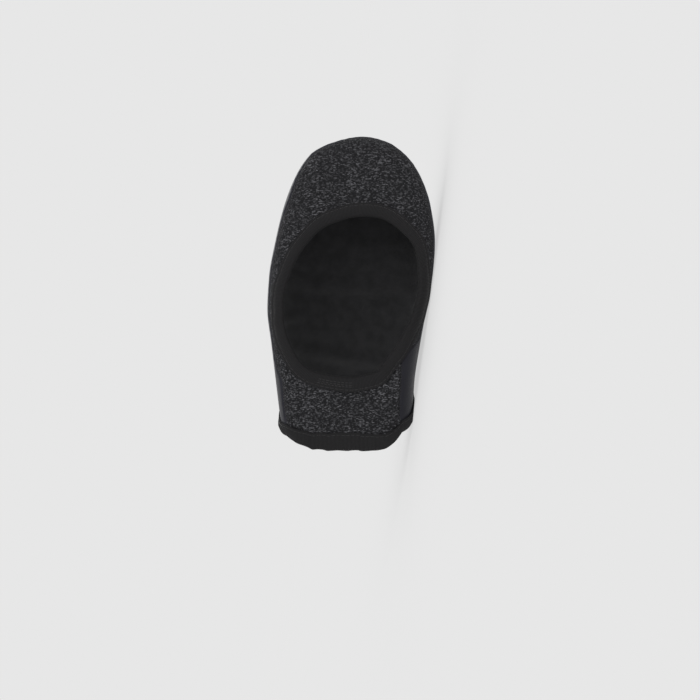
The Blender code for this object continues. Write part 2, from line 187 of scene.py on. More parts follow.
def ripple(place: np.ndarray, period: float, seed: int, loop: float | None = None) -> np.ndarray:
    """Smooth random waves between -1 and 1 along a line.

    Args:
        place: Distance along the line.
        period: Mean length of a wave.
        seed: Seed of the waves.
        loop: Length of the line where it closes on itself.

    Returns:
        The wave's value at each place.
    """
    count = 512 if loop is None else max(3, round(2.0 * loop / period))
    step = 0.5 * period if loop is None else loop / count
    heights = np.random.default_rng(seed).uniform(-1.0, 1.0, count)
    spot = np.asarray(place, float) / step
    index = np.floor(spot).astype(int)
    share = smooth_share(spot - index)
    before = heights[index % count]
    return before + (heights[(index + 1) % count] - before) * share


class Track:
    """A smooth curve through a table's values that doesn't overshoot its rows."""

    def __init__(self, places: Sequence[float], values: Sequence[float]) -> None:
        """Work out the slope at each row of the table."""
        self.places = np.asarray(places, float)
        self.values = np.asarray(values, float)
        step = np.diff(self.places)
        slope = np.diff(self.values) / step
        before = slope[:-1]
        after = slope[1:]
        rising = before * after > 0.0
        heavy = 2.0 * step[1:] + step[:-1]
        light = step[1:] + 2.0 * step[:-1]
        spread = heavy / np.where(rising, before, 1.0) + light / np.where(rising, after, 1.0)
        middle = np.where(rising, (heavy + light) / spread, 0.0)
        self.slopes = np.concatenate([slope[:1], middle, slope[-1:]])

    def __call__(self, place: np.ndarray | float) -> np.ndarray:
        """Read the curve at one place or at an array of places."""
        place = np.asarray(place, float)
        index = np.clip(np.searchsorted(self.places, place) - 1, 0, len(self.places) - 2)
        step = self.places[index + 1] - self.places[index]
        t = (place - self.places[index]) / step
        start = self.values[index] * (1.0 + 2.0 * t) + self.slopes[index] * step * t
        end = self.values[index + 1] * (3.0 - 2.0 * t) - self.slopes[index + 1] * step * (1.0 - t)
        return start * (1.0 - t) ** 2 + end * t**2

    @classmethod
    def round_toe(cls, table: Sequence[SidePair], tip: float, outer_sign: float = 1.0) -> "Track":
        """Make a track over the sweep from a table of outer and inner values.

        Args:
            table: Values at shares of the length.
            tip: Value at the toe.
            outer_sign: Sign that the outer values take.

        Returns:
            The track, from the back of the outer side to the back of the inner side.
        """
        rows = [row for row in table if row.at > 0.0]
        sweeps = [math.sqrt(row.at) for row in rows]
        places = [-sweep for sweep in reversed(sweeps)] + [0.0] + sweeps
        outer = [outer_sign * row.outer for row in reversed(rows)]
        return cls(places, outer + [tip] + [row.inner for row in rows])

    @classmethod
    def full_turn(cls, table: Sequence[Knot]) -> "Track":
        """Make a track over bearings in degrees that repeats on both sides of one turn."""
        turns = (-360.0, 0.0, 360.0)
        places = [row.at + turn for turn in turns for row in table]
        return cls(places, [row.value for _ in turns for row in table])


@dataclass
class Last:
    """The form of the shoe under the cover, and where the cover's edges lie on it."""

    length: float = 0.178
    ball_width: float = 0.095
    toe_crown: float = 0.046
    cuff_crown: float = 0.072
    toe_spring: float = 0.014
    arch_rise: float = 0.012
    side_depth: float = 0.024
    turn_radius: float = 0.015
    opening_reach: float = 0.046
    wall: float = 0.0018
    tape: float = 0.0007
    clearance: float = 0.0003
    ball_station: float = 0.5
    fan_station: float = 0.225
    cuff_top_station: float = 0.83
    opening_station: float = 0.514
    opening_across: float = 0.006
    ridge_across: float = 0.065
    tip_across: float = 0.074
    sole_power: float = 1.8
    crown_power: float = 1.6
    under_power: float = 2.6
    outer_side_power: float = 2.1
    inner_side_power: float = 3.8
    side_power_reach: float = 0.5
    row_evenness: float = 1.3
    seam_overlap: float = 0.0002
    hem_wave: float = 0.00048
    hem_wave_length: float = 0.0056
    opening_wave: float = 0.00025
    opening_wave_length: float = 0.016
    unroll: float = 0.85
    outline_samples: int = 2400
    outline_end: float = 1.05
    sweep_step: float = 0.002
    turn_step: float = 0.01

    def __post_init__(self) -> None:
        """Make the tracks and sample the outline."""
        self.half_width = Track.round_toe(OUTLINE, self.tip_across, -1.0)
        self.depth_share = Track.round_toe(DEPTHS, DEPTHS[0].inner)
        self.tuck = Track.round_toe(TUCKS, TUCKS[0].inner)
        places = [row.at for row in CUFF_SIDES]
        self.cuff = {
            Side.OUTER: Track(places, [row.outer for row in CUFF_SIDES]),
            Side.INNER: Track(places, [row.inner for row in CUFF_SIDES]),
        }
        self.hem = Track([row.at for row in CUFF_UNDERSIDE], [row.value for row in CUFF_UNDERSIDE])
        self.opening_edge = Track.full_turn(OPENING)
        self.fold_radius = self.wall / 2.0 + self.clearance + self.tape
        self.samples = np.linspace(-self.outline_end, self.outline_end, self.outline_samples)
        self.sample_points = self.outline(self.samples)
        self.sample_inwards = self.outline_inward(self.samples)

    def outline(self, sweep: np.ndarray) -> np.ndarray:
        """Plan position of the outline at a sweep: station and across."""
        across = self.ball_width * self.half_width(sweep)
        return np.stack([self.length * sweep**2, across], axis=-1)

    def outline_inward(self, sweep: np.ndarray) -> np.ndarray:
        """Unit plan direction that points from the outline into the cover."""
        run = self.outline(sweep + self.sweep_step) - self.outline(sweep - self.sweep_step)
        return unit(np.stack([run[..., 1], -run[..., 0]], axis=-1))

    def sole_height(self, station: np.ndarray) -> np.ndarray:
        """Height of the underside's middle: it springs up at the toe and rises to the arch."""
        ball = self.ball_station * self.length
        to_toe = np.clip((ball - station) / ball, 0.0, None)
        to_arch = np.clip((station - ball) / (self.length - ball), 0.0, None)
        spring = self.toe_spring * to_toe**self.sole_power
        return spring + self.arch_rise * to_arch**self.sole_power

    def crown_height(self, station: np.ndarray) -> np.ndarray:
        """Height of the ridge along the top, level at the toe box."""
        fan = self.fan_station * self.length
        along = (station - fan) / (self.cuff_top_station * self.length - fan)
        rise = self.cuff_crown - self.toe_crown
        return self.toe_crown + rise * np.clip(along, 0.0, None) ** self.crown_power

    def depth(self, sweep: np.ndarray) -> np.ndarray:
        """Depth from the widest line to the underside."""
        return self.side_depth * self.depth_share(sweep)

    def side_power(self, sweep: np.ndarray) -> np.ndarray:
        """Exponent of the side's rounding: full on the outer side, steep on the inner side."""
        share = smooth_share(0.5 + 0.5 * sweep / self.side_power_reach)
        return self.outer_side_power + (self.inner_side_power - self.outer_side_power) * share

    def turned_under(self, sweep: np.ndarray, turn: np.ndarray) -> np.ndarray:
        """Point of the edge that turns under: turn is 0 on the widest line, pi/2 underneath."""
        inset = self.turn_radius * (1.0 - np.cos(turn) ** (2.0 / self.under_power))
        plan = self.outline(sweep) + self.outline_inward(sweep) * inset[..., None]
        lift = self.depth(sweep) * (1.0 - np.sin(turn) ** (2.0 / self.under_power))
        height = self.sole_height(plan[..., 0]) + lift
        return np.concatenate([plan, height[..., None]], axis=-1)

    def seam_turn(self, sweep: np.ndarray) -> np.ndarray:
        """Turn at which the seam lies."""
        return np.arccos((1.0 - self.tuck(sweep)) ** (self.under_power / 2.0))

    def cuff_sweep(self, side: Side, place: float, inset: float = 0.0) -> float:
        """Sweep of the cloth's edge at the cuff, or of a line that lies inset from it."""
        station = self.cuff[side](place) * self.length - self.fold_radius - inset
        return side.value * math.sqrt(station / self.length)

    def cuff_inset(self, sweep: np.ndarray, place: float) -> np.ndarray:
        """Distance of points on one row from the row's end at the cuff."""
        inner = self.cuff_sweep(Side.INNER, place)
        outer = self.cuff_sweep(Side.OUTER, place)
        return self.length * (np.where(sweep > 0.0, inner, outer) ** 2 - sweep**2)

    def seam_allowance(self, sweep: np.ndarray) -> np.ndarray:
        """Turn that each cloth runs past the seam, so that their edges butt without a gap."""
        turn = self.seam_turn(sweep)
        run = self.turned_under(sweep, turn + self.turn_step) - self.turned_under(sweep, turn)
        return 0.5 * self.seam_overlap * self.turn_step / np.linalg.norm(run, axis=-1)

    def underside(self, plan: np.ndarray) -> np.ndarray:
        """Lift rows of plan points onto the underside, which turns up towards the outline."""
        return np.array([self.underside_row(row) for row in plan])

    def underside_row(self, plan: np.ndarray) -> np.ndarray:
        """Lift one row of plan points onto the underside."""
        lift, _ = self.turn_up(plan)
        height = self.sole_height(plan[:, 0]) + lift
        return np.concatenate([plan, height[:, None]], axis=-1)

    def unrolled(self, plan: np.ndarray) -> np.ndarray:
        """Lay rows of plan points out flat, so that cloth which turns up keeps its length."""
        rows = []
        for row in plan:
            lift, inwards = self.turn_up(row)
            rows.append(row - inwards * (self.unroll * lift[:, None]))
        return np.array(rows)

    def turn_up(self, plan: np.ndarray) -> tuple[np.ndarray, np.ndarray]:
        """How far the underside turns up at plan points.

        Args:
            plan: Plan points.

        Returns:
            The rise over the middle of the underside, and the outline's inward directions.
        """
        offsets = plan[:, None, :] - self.sample_points[None, :, :]
        nearest = np.argmin((offsets**2).sum(axis=-1), axis=1)
        inwards = self.sample_inwards[nearest]
        inset = ((plan - self.sample_points[nearest]) * inwards).sum(axis=-1)
        share = np.clip(1.0 - inset / self.turn_radius, 0.0, 1.0)
        lift = 1.0 - (1.0 - share**self.under_power) ** (1.0 / self.under_power)
        return self.depth(self.samples[nearest]) * lift, inwards

    def side_wall(self, sweep: np.ndarray, place: float) -> np.ndarray:
        """Points of the upper on one row.

        Args:
            sweep: Sweeps of the row's points.
            place: -1 at the seam, 0 on the widest line, 1 on the ridge.

        Returns:
            Points in the foot's directions.
        """
        if place <= 0.0:
            turn = -place * self.seam_turn(sweep)
            if place == -1.0:
                turn = turn + self.seam_allowance(sweep)
            return self.turned_under(sweep, turn)
        start = self.outline(sweep)
        station = np.maximum(start[..., 0], self.fan_station * self.length)
        ridge = np.full_like(station, self.ridge_across * self.ball_width)
        turn = 0.5 * math.pi * place**self.row_evenness
        power = 2.0 / self.side_power(sweep)
        inset = 1.0 - math.cos(turn) ** power if place < 1.0 else np.ones_like(power)
        plan = start + (np.stack([station, ridge], axis=-1) - start) * inset[..., None]
        level = self.sole_height(start[..., 0]) + self.depth(sweep)
        height = level + (self.crown_height(station) - level) * math.sin(turn) ** power
        return np.concatenate([plan, height[..., None]], axis=-1)

    def hem_plan(self, share: np.ndarray, inset: np.ndarray | float = 0.0) -> np.ndarray:
        """Plan points of the cloth's edge underneath the cuff, or of a line inset from it."""
        sweeps = np.array([self.cuff_sweep(side, -1.0) for side in Side])
        ends = self.turned_under(sweeps, self.seam_turn(sweeps))
        run = ends[1, 1] - ends[0, 1]
        wave = ripple(share * run, self.hem_wave_length, 11) * np.sin(math.pi * share)
        station = self.hem(share) * self.length - self.fold_radius - inset
        station = station + self.hem_wave * wave
        return np.stack([station, ends[0, 1] + run * share], axis=-1)

    def opening_centre(self) -> np.ndarray:
        """Plan position that the opening's bearings turn about."""
        return np.array([
            self.opening_station * self.length,
            self.opening_across * self.ball_width,
        ])

    def opening_plan(self, bearing: np.ndarray, inset: np.ndarray | float) -> np.ndarray:
        """Plan points of the cloth's edge at the opening, or of a line inset from it."""
        reach = self.opening_reach * self.opening_edge(np.degrees(bearing))
        reach = reach + self.fold_radius + inset
        wave = ripple(
            bearing * self.opening_reach, self.opening_wave_length, 13,
            FULL_TURN * self.opening_reach,
        )
        reach = reach + self.opening_wave * wave
        towards = np.stack([-np.cos(bearing), np.sin(bearing)], axis=-1)
        return self.opening_centre() + towards * reach[..., None]


def past_leaf(inset: np.ndarray, leaf: float) -> np.ndarray:
    """Grow from 0 under the cuff's tape to 1 a leaf's width past it."""
    return smooth_share((inset - leaf) / leaf)


@dataclass(frozen=True)
class Rest:
    """How the cover lies on the floor: its turn, its lowest point and its shift."""

    roll: float = math.radians(-2.0)
    pitch: float = math.radians(-7.78701635647471)
    low: float = -0.05753150400958727
    shift_x: float = 0.08790476620197296
    shift_y: float = -0.03519781306385994
    softness: float = 0.0003

    def turn(self) -> np.ndarray:
        """Turn from level floor directions to those of the tilted cover."""
        roll = Matrix.Rotation(self.roll, 3, "X")
        return np.array(roll @ Matrix.Rotation(self.pitch, 3, "Y"))

    def direction(self, foot: np.ndarray) -> np.ndarray:
        """Turn directions of the foot into directions of the floor."""
        level = np.stack([-foot[..., 0], foot[..., 2], -foot[..., 1]], axis=-1)
        return level @ self.turn().T

    def lay(self, points: np.ndarray, lift: np.ndarray | float = 0.0) -> np.ndarray:
        """Lay points on the floor and press softly flat what would be under it.

        Args:
            points: Points in the foot's directions.
            lift: Least height over the floor.

        Returns:
            Points in the row's frame.
        """
        laid = self.direction(points)
        over = laid[..., 2] - self.low - lift
        height = lift + 0.5 * (over + np.sqrt(over**2 + self.softness**2))
        plan = laid[..., :2] + np.array([self.shift_x, self.shift_y])
        return np.concatenate([plan, height[..., None]], axis=-1)


def surface_normals(rows: np.ndarray, closed: bool) -> np.ndarray:
    """Normals at the points of a grid, from the slopes along its rows and its columns.

    The foot's directions are left-handed, so there they come out the other way round.

    Args:
        rows: Points by row and column.
        closed: Whether each row closes on itself.

    Returns:
        Unit normals by row and column.
    """
    along = np.gradient(rows, axis=1)
    if closed:
        along = np.roll(rows, -1, axis=1) - np.roll(rows, 1, axis=1)
    normals = np.cross(along, np.gradient(rows, axis=0))
    length = np.linalg.norm(normals, axis=-1, keepdims=True)
    blank = length[..., 0] < 1e-14
    normals[blank] = normals[~blank].mean(axis=0)
    return unit(normals)


def eased(ring: np.ndarray, reach: int) -> np.ndarray:
    """Average the points of a closed ring over their neighbours on each side."""
    shifts = range(-reach, reach + 1)
    weights = [1.0 + reach - abs(shift) for shift in shifts]
    total = sum(weight * np.roll(ring, shift, axis=0) for shift, weight in zip(shifts, weights))
    return total / sum(weights)


def distance_down(rows: np.ndarray) -> np.ndarray:
    """Distance of each point of a grid from the first row, along its column."""
    steps = np.linalg.norm(np.diff(rows, axis=0), axis=-1)
    return np.concatenate([np.zeros((1, rows.shape[1])), np.cumsum(steps, axis=0)])


def distance_along(line: np.ndarray, closed: bool) -> np.ndarray:
    """Distance of each point of a line from its first, with the whole loop's length last."""
    ring = np.concatenate([line, line[:1]]) if closed else line
    return np.concatenate([[0.0], np.cumsum(np.linalg.norm(np.diff(ring, axis=0), axis=-1))])


def make_sheet(
    name: str, rows: np.ndarray, across: np.ndarray, down: np.ndarray, closed: bool, flipped: bool
) -> bpy.types.Object:
    """Make an object from a grid of points, with a UV map in metres.

    Args:
        name: Name of the object.
        rows: Points by row and column.
        across: First UV value by row and column, with one more column where it is closed.
        down: Second UV value, like across.
        closed: Whether each row closes on itself.
        flipped: Whether the faces are wound the other way.

    Returns:
        The object, with its mesh in place.
    """
    count, columns = rows.shape[:2]
    spans = columns if closed else columns - 1
    row, column = np.meshgrid(np.arange(count - 1), np.arange(spans), indexing="ij")
    corners = [(row, column), (row, column + 1), (row + 1, column + 1), (row + 1, column)]
    if flipped:
        corners = corners[::-1]
    faces = np.stack([r * columns + c % columns for r, c in corners], axis=-1).reshape(-1, 4)
    uv = np.stack([np.stack([across[r, c], down[r, c]], axis=-1) for r, c in corners], axis=-2)
    mesh = bpy.data.meshes.new(name)
    mesh.from_pydata(rows.reshape(-1, 3).tolist(), [], faces.tolist())
    mesh.uv_layers.new(name="cloth").data.foreach_set("uv", uv.reshape(-1).astype(np.float32))
    mesh.shade_smooth()
    item = bpy.data.objects.new(name, mesh)
    bpy.context.scene.collection.objects.link(item)
    return item


def apply_modifiers(item: bpy.types.Object) -> None:
    """Turn an object and its modifiers into a plain mesh."""
    graph = bpy.context.evaluated_depsgraph_get()
    made = item.evaluated_get(graph)
    mesh = bpy.data.meshes.new_from_object(made, preserve_all_data_layers=True, depsgraph=graph)
    item.modifiers.clear()
    mesh.name = item.name
    item.data = mesh


def thicken(item: bpy.types.Object, thickness: float, lined: bool) -> None:
    """Give a sheet its wall inwards, the inner face in the next material where it is lined."""
    wall = item.modifiers.new("wall", "SOLIDIFY")
    wall.thickness = thickness
    wall.offset = -1.0
    wall.use_quality_normals = True
    wall.material_offset = 1 if lined else 0
    apply_modifiers(item)


def merge_doubles(item: bpy.types.Object, distance: float) -> None:
    """Merge points that lie on each other."""
    weld = item.modifiers.new("weld", "WELD")
    weld.merge_threshold = distance
    apply_modifiers(item)


def press_on_floor(item: bpy.types.Object) -> None:
    """Press what would sink into the floor flat on it."""
    points = np.empty(3 * len(item.data.vertices), np.float32)
    item.data.vertices.foreach_get("co", points)
    points[2::3] = np.maximum(points[2::3], 0.0)
    item.data.vertices.foreach_set("co", points)
    item.data.update()


def place_piece(item: bpy.types.Object, slot: str, *nodes: str) -> None:
    """Press a finished piece on the floor and tie it to the frame.

    Args:
        item: The piece.
        slot: Not used.
        nodes: Solids that it stands for.
    """
    press_on_floor(item)
    if nodes:
        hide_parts(*nodes)
    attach(item, BODY)
    LOG.info("%s: %d faces", item.name, len(item.data.polygons))


class NodeGraph:
    """Adds and joins the nodes of one node tree."""

    def __init__(self, tree: bpy.types.NodeTree) -> None:
        """Keep the tree."""
        self.tree = tree

    def add(self, kind: str, **settings: object) -> bpy.types.Node:
        """Add a node and give it its settings."""
        node = self.tree.nodes.new(kind)
        for name, value in settings.items():
            setattr(node, name, value)
        return node

    def feed(self, node: bpy.types.Node, name: str | int, value: object) -> None:
        """Feed a node's input from a socket or with a plain value."""
        if isinstance(value, bpy.types.NodeSocket):
            self.tree.links.new(value, node.inputs[name])
        else:
            node.inputs[name].default_value = value

    def calculate(self, operation: str, *values: object, clamped: bool = False) -> object:
        """Add a Math node.

        Args:
            operation: The node's operation.
            values: Its inputs, in order.
            clamped: Whether its result stays between 0 and 1.

        Returns:
            Its output socket.
        """
        kind = "ShaderNodeMath"
        node = self.add(kind, operation=operation, use_clamp=clamped)
        for index, value in enumerate(values):
            self.feed(node, index, value)
        return node.outputs[0]

    def scaled(self, vector: object, x: float, y: float, z: float) -> object:
        """Scale a vector by a number for each direction."""
        node = self.add("ShaderNodeVectorMath", operation="MULTIPLY")
        self.feed(node, 0, vector)
        self.feed(node, 1, (x, y, z))
        return node.outputs[0]

    def noise(self, vector: object, scale: object, detail: float, roughness: float) -> object:
        """Add a Noise Texture and return its value."""
        node = self.add("ShaderNodeTexNoise")
        self.feed(node, "Vector", vector)
        self.feed(node, "Scale", scale)
        self.feed(node, "Detail", detail)
        self.feed(node, "Roughness", roughness)
        return node.outputs["Fac"]

    def remap(self, value: object, low: float, high: float, start: float, end: float) -> object:
        """Map a value's range onto another, smoothly."""
        node = self.add("ShaderNodeMapRange", interpolation_type="SMOOTHSTEP")
        for name, setting in zip(("Value", "From Min", "From Max", "To Min", "To Max"),
                                 (value, low, high, start, end)):
            self.feed(node, name, setting)
        return node.outputs["Result"]

    def blend(self, share: object, first: object, second: object) -> object:
        """Mix two colours."""
        node = self.add("ShaderNodeMix", data_type="RGBA")
        self.feed(node, 0, share)
        self.feed(node, 6, first)
        self.feed(node, 7, second)
        return node.outputs[2]

    def bump(self, height: object, distance: float, strength: float, normal: object = None) -> object:
        """Add a Bump node and return its normal."""
        node = self.add("ShaderNodeBump")
        self.feed(node, "Height", height)
        self.feed(node, "Distance", distance)
        self.feed(node, "Strength", strength)
        if normal is not None:
            self.feed(node, "Normal", normal)
        return node.outputs["Normal"]


def fibre_group() -> bpy.types.ShaderNodeTree:
    """Make the group that gives every cloth its fibres and its soft patches.

    Returns:
        The group, with the outputs Height and Patch.
    """
    name = "fibres"
    if name in bpy.data.node_groups:
        return bpy.data.node_groups[name]
    tree = bpy.data.node_groups.new(name, "ShaderNodeTree")
    tree.interface.new_socket("Fibre Size", in_out="INPUT", socket_type="NodeSocketFloat")
    tree.interface.new_socket("Patch Size", in_out="INPUT", socket_type="NodeSocketFloat")
    tree.interface.new_socket("Height", in_out="OUTPUT", socket_type="NodeSocketFloat")
    tree.interface.new_socket("Patch", in_out="OUTPUT", socket_type="NodeSocketFloat")
    graph = NodeGraph(tree)
    given = graph.add("NodeGroupInput")
    result = graph.add("NodeGroupOutput")
    place = graph.add("ShaderNodeTexCoord").outputs["Object"]
    fine = graph.calculate("DIVIDE", 1.0, given.outputs["Fibre Size"])
    coarse = graph.calculate("DIVIDE", 1.0, given.outputs["Patch Size"])
    graph.feed(result, "Height", graph.noise(place, fine, 3.0, 0.6))
    graph.feed(result, "Patch", graph.noise(place, coarse, 2.0, 0.5))
    return tree


Colour = tuple[float, float, float, float]


def grey(red: float, green: float, blue: float) -> Colour:
    """A linear colour with full alpha."""
    return (red, green, blue, 1.0)


@dataclass(frozen=True)
class Finish:
    """A plain woven or coated cloth: colour, gloss and the grain of its fibres."""

    name: str
    colour: Colour
    # Darker colour: the tone of random patches on most cloths, and painted shade in the knit's gaps and
    # the tape's rib valleys.
    shade: Colour
    roughness: float
    rough_spread: float
    sheen: float
    specular: float
    fibre: float
    patch: float
    relief: float

    def start(self) -> tuple[bpy.types.Material, NodeGraph, bpy.types.Node, bpy.types.Node]:
        """Make the material with its shader and its fibres.

        Returns:
            The material, its graph, its Principled shader and its fibre node.
        """
        material = bpy.data.materials.new(self.name)
        material.use_nodes = True
        graph = NodeGraph(material.node_tree)
        shader = material.node_tree.nodes["Principled BSDF"]
        graph.feed(shader, "Metallic", 0.0)
        graph.feed(shader, "Sheen Weight", self.sheen)
        graph.feed(shader, "Sheen Roughness", 0.5)
        graph.feed(shader, "Specular IOR Level", self.specular)
        fibres = graph.add("ShaderNodeGroup", node_tree=fibre_group())
        graph.feed(fibres, "Fibre Size", self.fibre)
        graph.feed(fibres, "Patch Size", self.patch)
        spread = (self.roughness - self.rough_spread, self.roughness + self.rough_spread)
        graph.feed(shader, "Roughness", graph.remap(fibres.outputs["Patch"], 0.3, 0.7, *spread))
        return material, graph, shader, fibres

    def build(self) -> bpy.types.Material:
        """Make the material."""
        material, graph, shader, fibres = self.start()
        share = graph.remap(fibres.outputs["Patch"], 0.25, 0.75, 0.0, 1.0)
        graph.feed(shader, "Base Color", graph.blend(share, self.shade, self.colour))
        graph.feed(shader, "Normal", graph.bump(fibres.outputs["Height"], self.relief, 1.0))
        return material


@dataclass(frozen=True)
class Softshell(Finish):
    """Smooth satin softshell, with a fine close twill on its face."""

    gauge: float = 0.00050

    def build(self) -> bpy.types.Material:
        """Make the material."""
        material, graph, shader, fibres = self.start()
        share = graph.remap(fibres.outputs["Patch"], 0.25, 0.75, 0.0, 1.0)
        graph.feed(shader, "Base Color", graph.blend(share, self.shade, self.colour))
        cloth = graph.add("ShaderNodeUVMap", uv_map="cloth").outputs["UV"]
        parts = graph.add("ShaderNodeSeparateXYZ")
        graph.feed(parts, 0, cloth)
        slant = graph.calculate("MULTIPLY_ADD", parts.outputs["Y"], 0.55, parts.outputs["X"])
        twill = graph.calculate("SINE", graph.calculate("MULTIPLY", slant, FULL_TURN / self.gauge))
        pick = graph.calculate("SINE", graph.calculate("MULTIPLY", parts.outputs["Y"],
                                                       FULL_TURN / self.gauge))
        face = graph.calculate("MULTIPLY_ADD", pick, 0.35, twill)
        grain = graph.add("ShaderNodeAttribute", attribute_name="grain").outputs["Fac"]
        face = graph.calculate("MULTIPLY_ADD", face, grain, fibres.outputs["Height"])
        graph.feed(shader, "Normal", graph.bump(face, self.relief, 1.0))
        return material


@dataclass(frozen=True)
class HeatherKnit(Finish):
    """Charcoal knit whose courses run across the foot, with light yarn showing in flecks."""

    course: float = 0.00052
    wale: float = 0.00070
    chevron: float = 0.32
    fleck: Colour = grey(0.139, 0.139, 0.149)
    fleck_length: float = 0.0016
    fleck_chance: float = 0.13
    streak_length: float = 0.008
    streaks: tuple[float, float] = (0.45, 1.35)
    fleck_low: float = 0.44
    fleck_high: float = 0.74
    # Share of the colour left in the gaps between the stitch legs, which take painted shade.
    painted_gap_shade: float = 0.45

    def build(self) -> bpy.types.Material:
        """Make the material: each stitch has two slanting legs, each leg its own tone of yarn, and painted
        shade in the gaps between legs.
        """
        material, graph, shader, fibres = self.start()
        calculate = graph.calculate
        cloth = graph.add("ShaderNodeUVMap", uv_map="cloth").outputs["UV"]
        parts = graph.add("ShaderNodeSeparateXYZ")
        graph.feed(parts, 0, cloth)
        bend = graph.noise(cloth, 90.0, 1.0, 0.5)
        column = calculate("DIVIDE", parts.outputs["X"], self.wale)
        side = calculate("PINGPONG", column, 0.5)
        course = calculate("DIVIDE", parts.outputs["Y"], self.course)
        course = calculate("MULTIPLY_ADD", bend, 2.5, course)
        course = calculate("MULTIPLY_ADD", side, 2.0 * self.chevron, course)
        row = calculate("FLOOR", course)
        leg = calculate("FLOOR", calculate("MULTIPLY", column, 2.0))
        rise = calculate("SINE", calculate("MULTIPLY", calculate("FRACT", course), math.pi))
        round_leg = calculate("SINE", calculate("MULTIPLY", side, FULL_TURN))
        height = calculate("MULTIPLY_ADD", calculate("ABSOLUTE", round_leg), 0.6, rise)
        cell = graph.add("ShaderNodeCombineXYZ")
        graph.feed(cell, "X", leg)
        graph.feed(cell, "Y", row)
        chance = graph.add("ShaderNodeTexWhiteNoise", noise_dimensions="2D")
        graph.feed(chance, "Vector", cell.outputs["Vector"])
        yarn = graph.add("ShaderNodeCombineXYZ")
        graph.feed(yarn, "X", calculate("MULTIPLY", leg, 0.5 * self.wale / self.fleck_length))
        graph.feed(yarn, "Y", calculate("MULTIPLY", row, 7.3))
        light = graph.noise(yarn.outputs["Vector"], 1.0, 1.0, 0.5)
        odds = calculate("SUBTRACT", chance.outputs["Value"], 0.5)
        light = calculate("MULTIPLY_ADD", odds, self.fleck_chance, light)
        flecks = graph.remap(light, self.fleck_low, self.fleck_high, 0.0, 1.0)
        share = graph.remap(fibres.outputs["Patch"], 0.25, 0.75, 0.6, 1.0)
        flecks = calculate("MULTIPLY", flecks, share)
        slub = graph.add("ShaderNodeCombineXYZ")
        graph.feed(slub, "X", calculate("DIVIDE", parts.outputs["X"], self.streak_length))
        graph.feed(slub, "Y", calculate("MULTIPLY", row, 3.7))
        streak = graph.remap(graph.noise(slub.outputs["Vector"], 1.0, 1.0, 0.5), 0.3, 0.7, *self.streaks)
        flecks = calculate("MULTIPLY", flecks, streak, clamped=True)
        # Painted shade: the colour darkens towards the shade colour in the gaps between the stitch legs,
        # and the flecks there dim with it.
        top = graph.remap(height, 0.2, 1.3, self.painted_gap_shade, 1.0)
        base = graph.blend(top, self.shade, self.colour)
        lit = calculate("MULTIPLY", flecks, top)
        graph.feed(shader, "Base Color", graph.blend(lit, base, self.fleck))
        height = calculate("MULTIPLY_ADD", fibres.outputs["Height"], 0.5, height)
        graph.feed(shader, "Normal", graph.bump(height, self.relief, 1.0))
        return material


@dataclass(frozen=True)
class RibbedTape(Finish):
    """Stretch tape with ribs across it, with painted shade in the valleys between them."""

    pitch: float = 0.00075
    yarn: float = 0.0003

    def build(self) -> bpy.types.Material:
        """Make the material."""
        material, graph, shader, fibres = self.start()
        cloth = graph.add("ShaderNodeUVMap", uv_map="cloth").outputs["UV"]
        parts = graph.add("ShaderNodeSeparateXYZ")
        graph.feed(parts, 0, cloth)
        rib = graph.calculate("COSINE", graph.calculate("MULTIPLY", parts.outputs["X"],
                                                        FULL_TURN / self.pitch))
        # Painted shade: the colour darkens towards the shade colour in the valleys between the ribs, and
        # in worn patches at random.
        top = graph.calculate("MULTIPLY_ADD", rib, 0.5, 0.5, clamped=True)
        worn = graph.remap(fibres.outputs["Patch"], 0.3, 0.7, 0.7, 1.0)
        share = graph.calculate("MULTIPLY", top, worn)
        graph.feed(shader, "Base Color", graph.blend(share, self.shade, self.colour))
        yarn = graph.calculate("SINE", graph.calculate("MULTIPLY", parts.outputs["Y"],
                                                       FULL_TURN / self.yarn))
        height = graph.calculate("MULTIPLY_ADD", yarn, 0.25, rib)
        height = graph.calculate("ADD", height, fibres.outputs["Height"])
        graph.feed(shader, "Normal", graph.bump(height, self.relief, 1.0))
        return material


SOFTSHELL = Softshell(
    name="satin_softshell", colour=grey(0.0168, 0.0168, 0.0222), shade=grey(0.0136, 0.0136, 0.0184),
    roughness=0.46, rough_spread=0.05, sheen=0.0, specular=0.16, fibre=0.00035, patch=0.018,
    relief=0.000011,
)
# The knit's shade colour is painted shade in the gaps between its stitches.
KNIT = HeatherKnit(
    name="heather_charcoal", colour=grey(0.0140, 0.0140, 0.0153), shade=grey(0.0070, 0.0070, 0.0077),
    roughness=0.88, rough_spread=0.04, sheen=0.0, specular=0.10, fibre=0.0003, patch=0.012,
    relief=0.00010,
)
# The tape's shade colour is painted shade between its ribs, and the tone of its worn patches.
TAPE = RibbedTape(
    name="ribbed_tape", colour=grey(0.0172, 0.0167, 0.0177), shade=grey(0.0070, 0.0067, 0.0073),
    roughness=0.74, rough_spread=0.05, sheen=0.02, specular=0.20, fibre=0.00025, patch=0.009,
    relief=0.00005,
)
LINING = Finish(
    name="brushed_lining", colour=grey(0.0250, 0.0250, 0.0265), shade=grey(0.0160, 0.0160, 0.0170),
    roughness=0.92, rough_spread=0.03, sheen=0.35, specular=0.20, fibre=0.0006, patch=0.006,
    relief=0.00018,
)
THREAD = Finish(
    name="black_thread", colour=grey(0.0200, 0.0195, 0.0205), shade=grey(0.0130, 0.0128, 0.0135),
    roughness=0.55, rough_spread=0.05, sheen=0.10, specular=0.40, fibre=0.00015, patch=0.004,
    relief=0.00002,
)


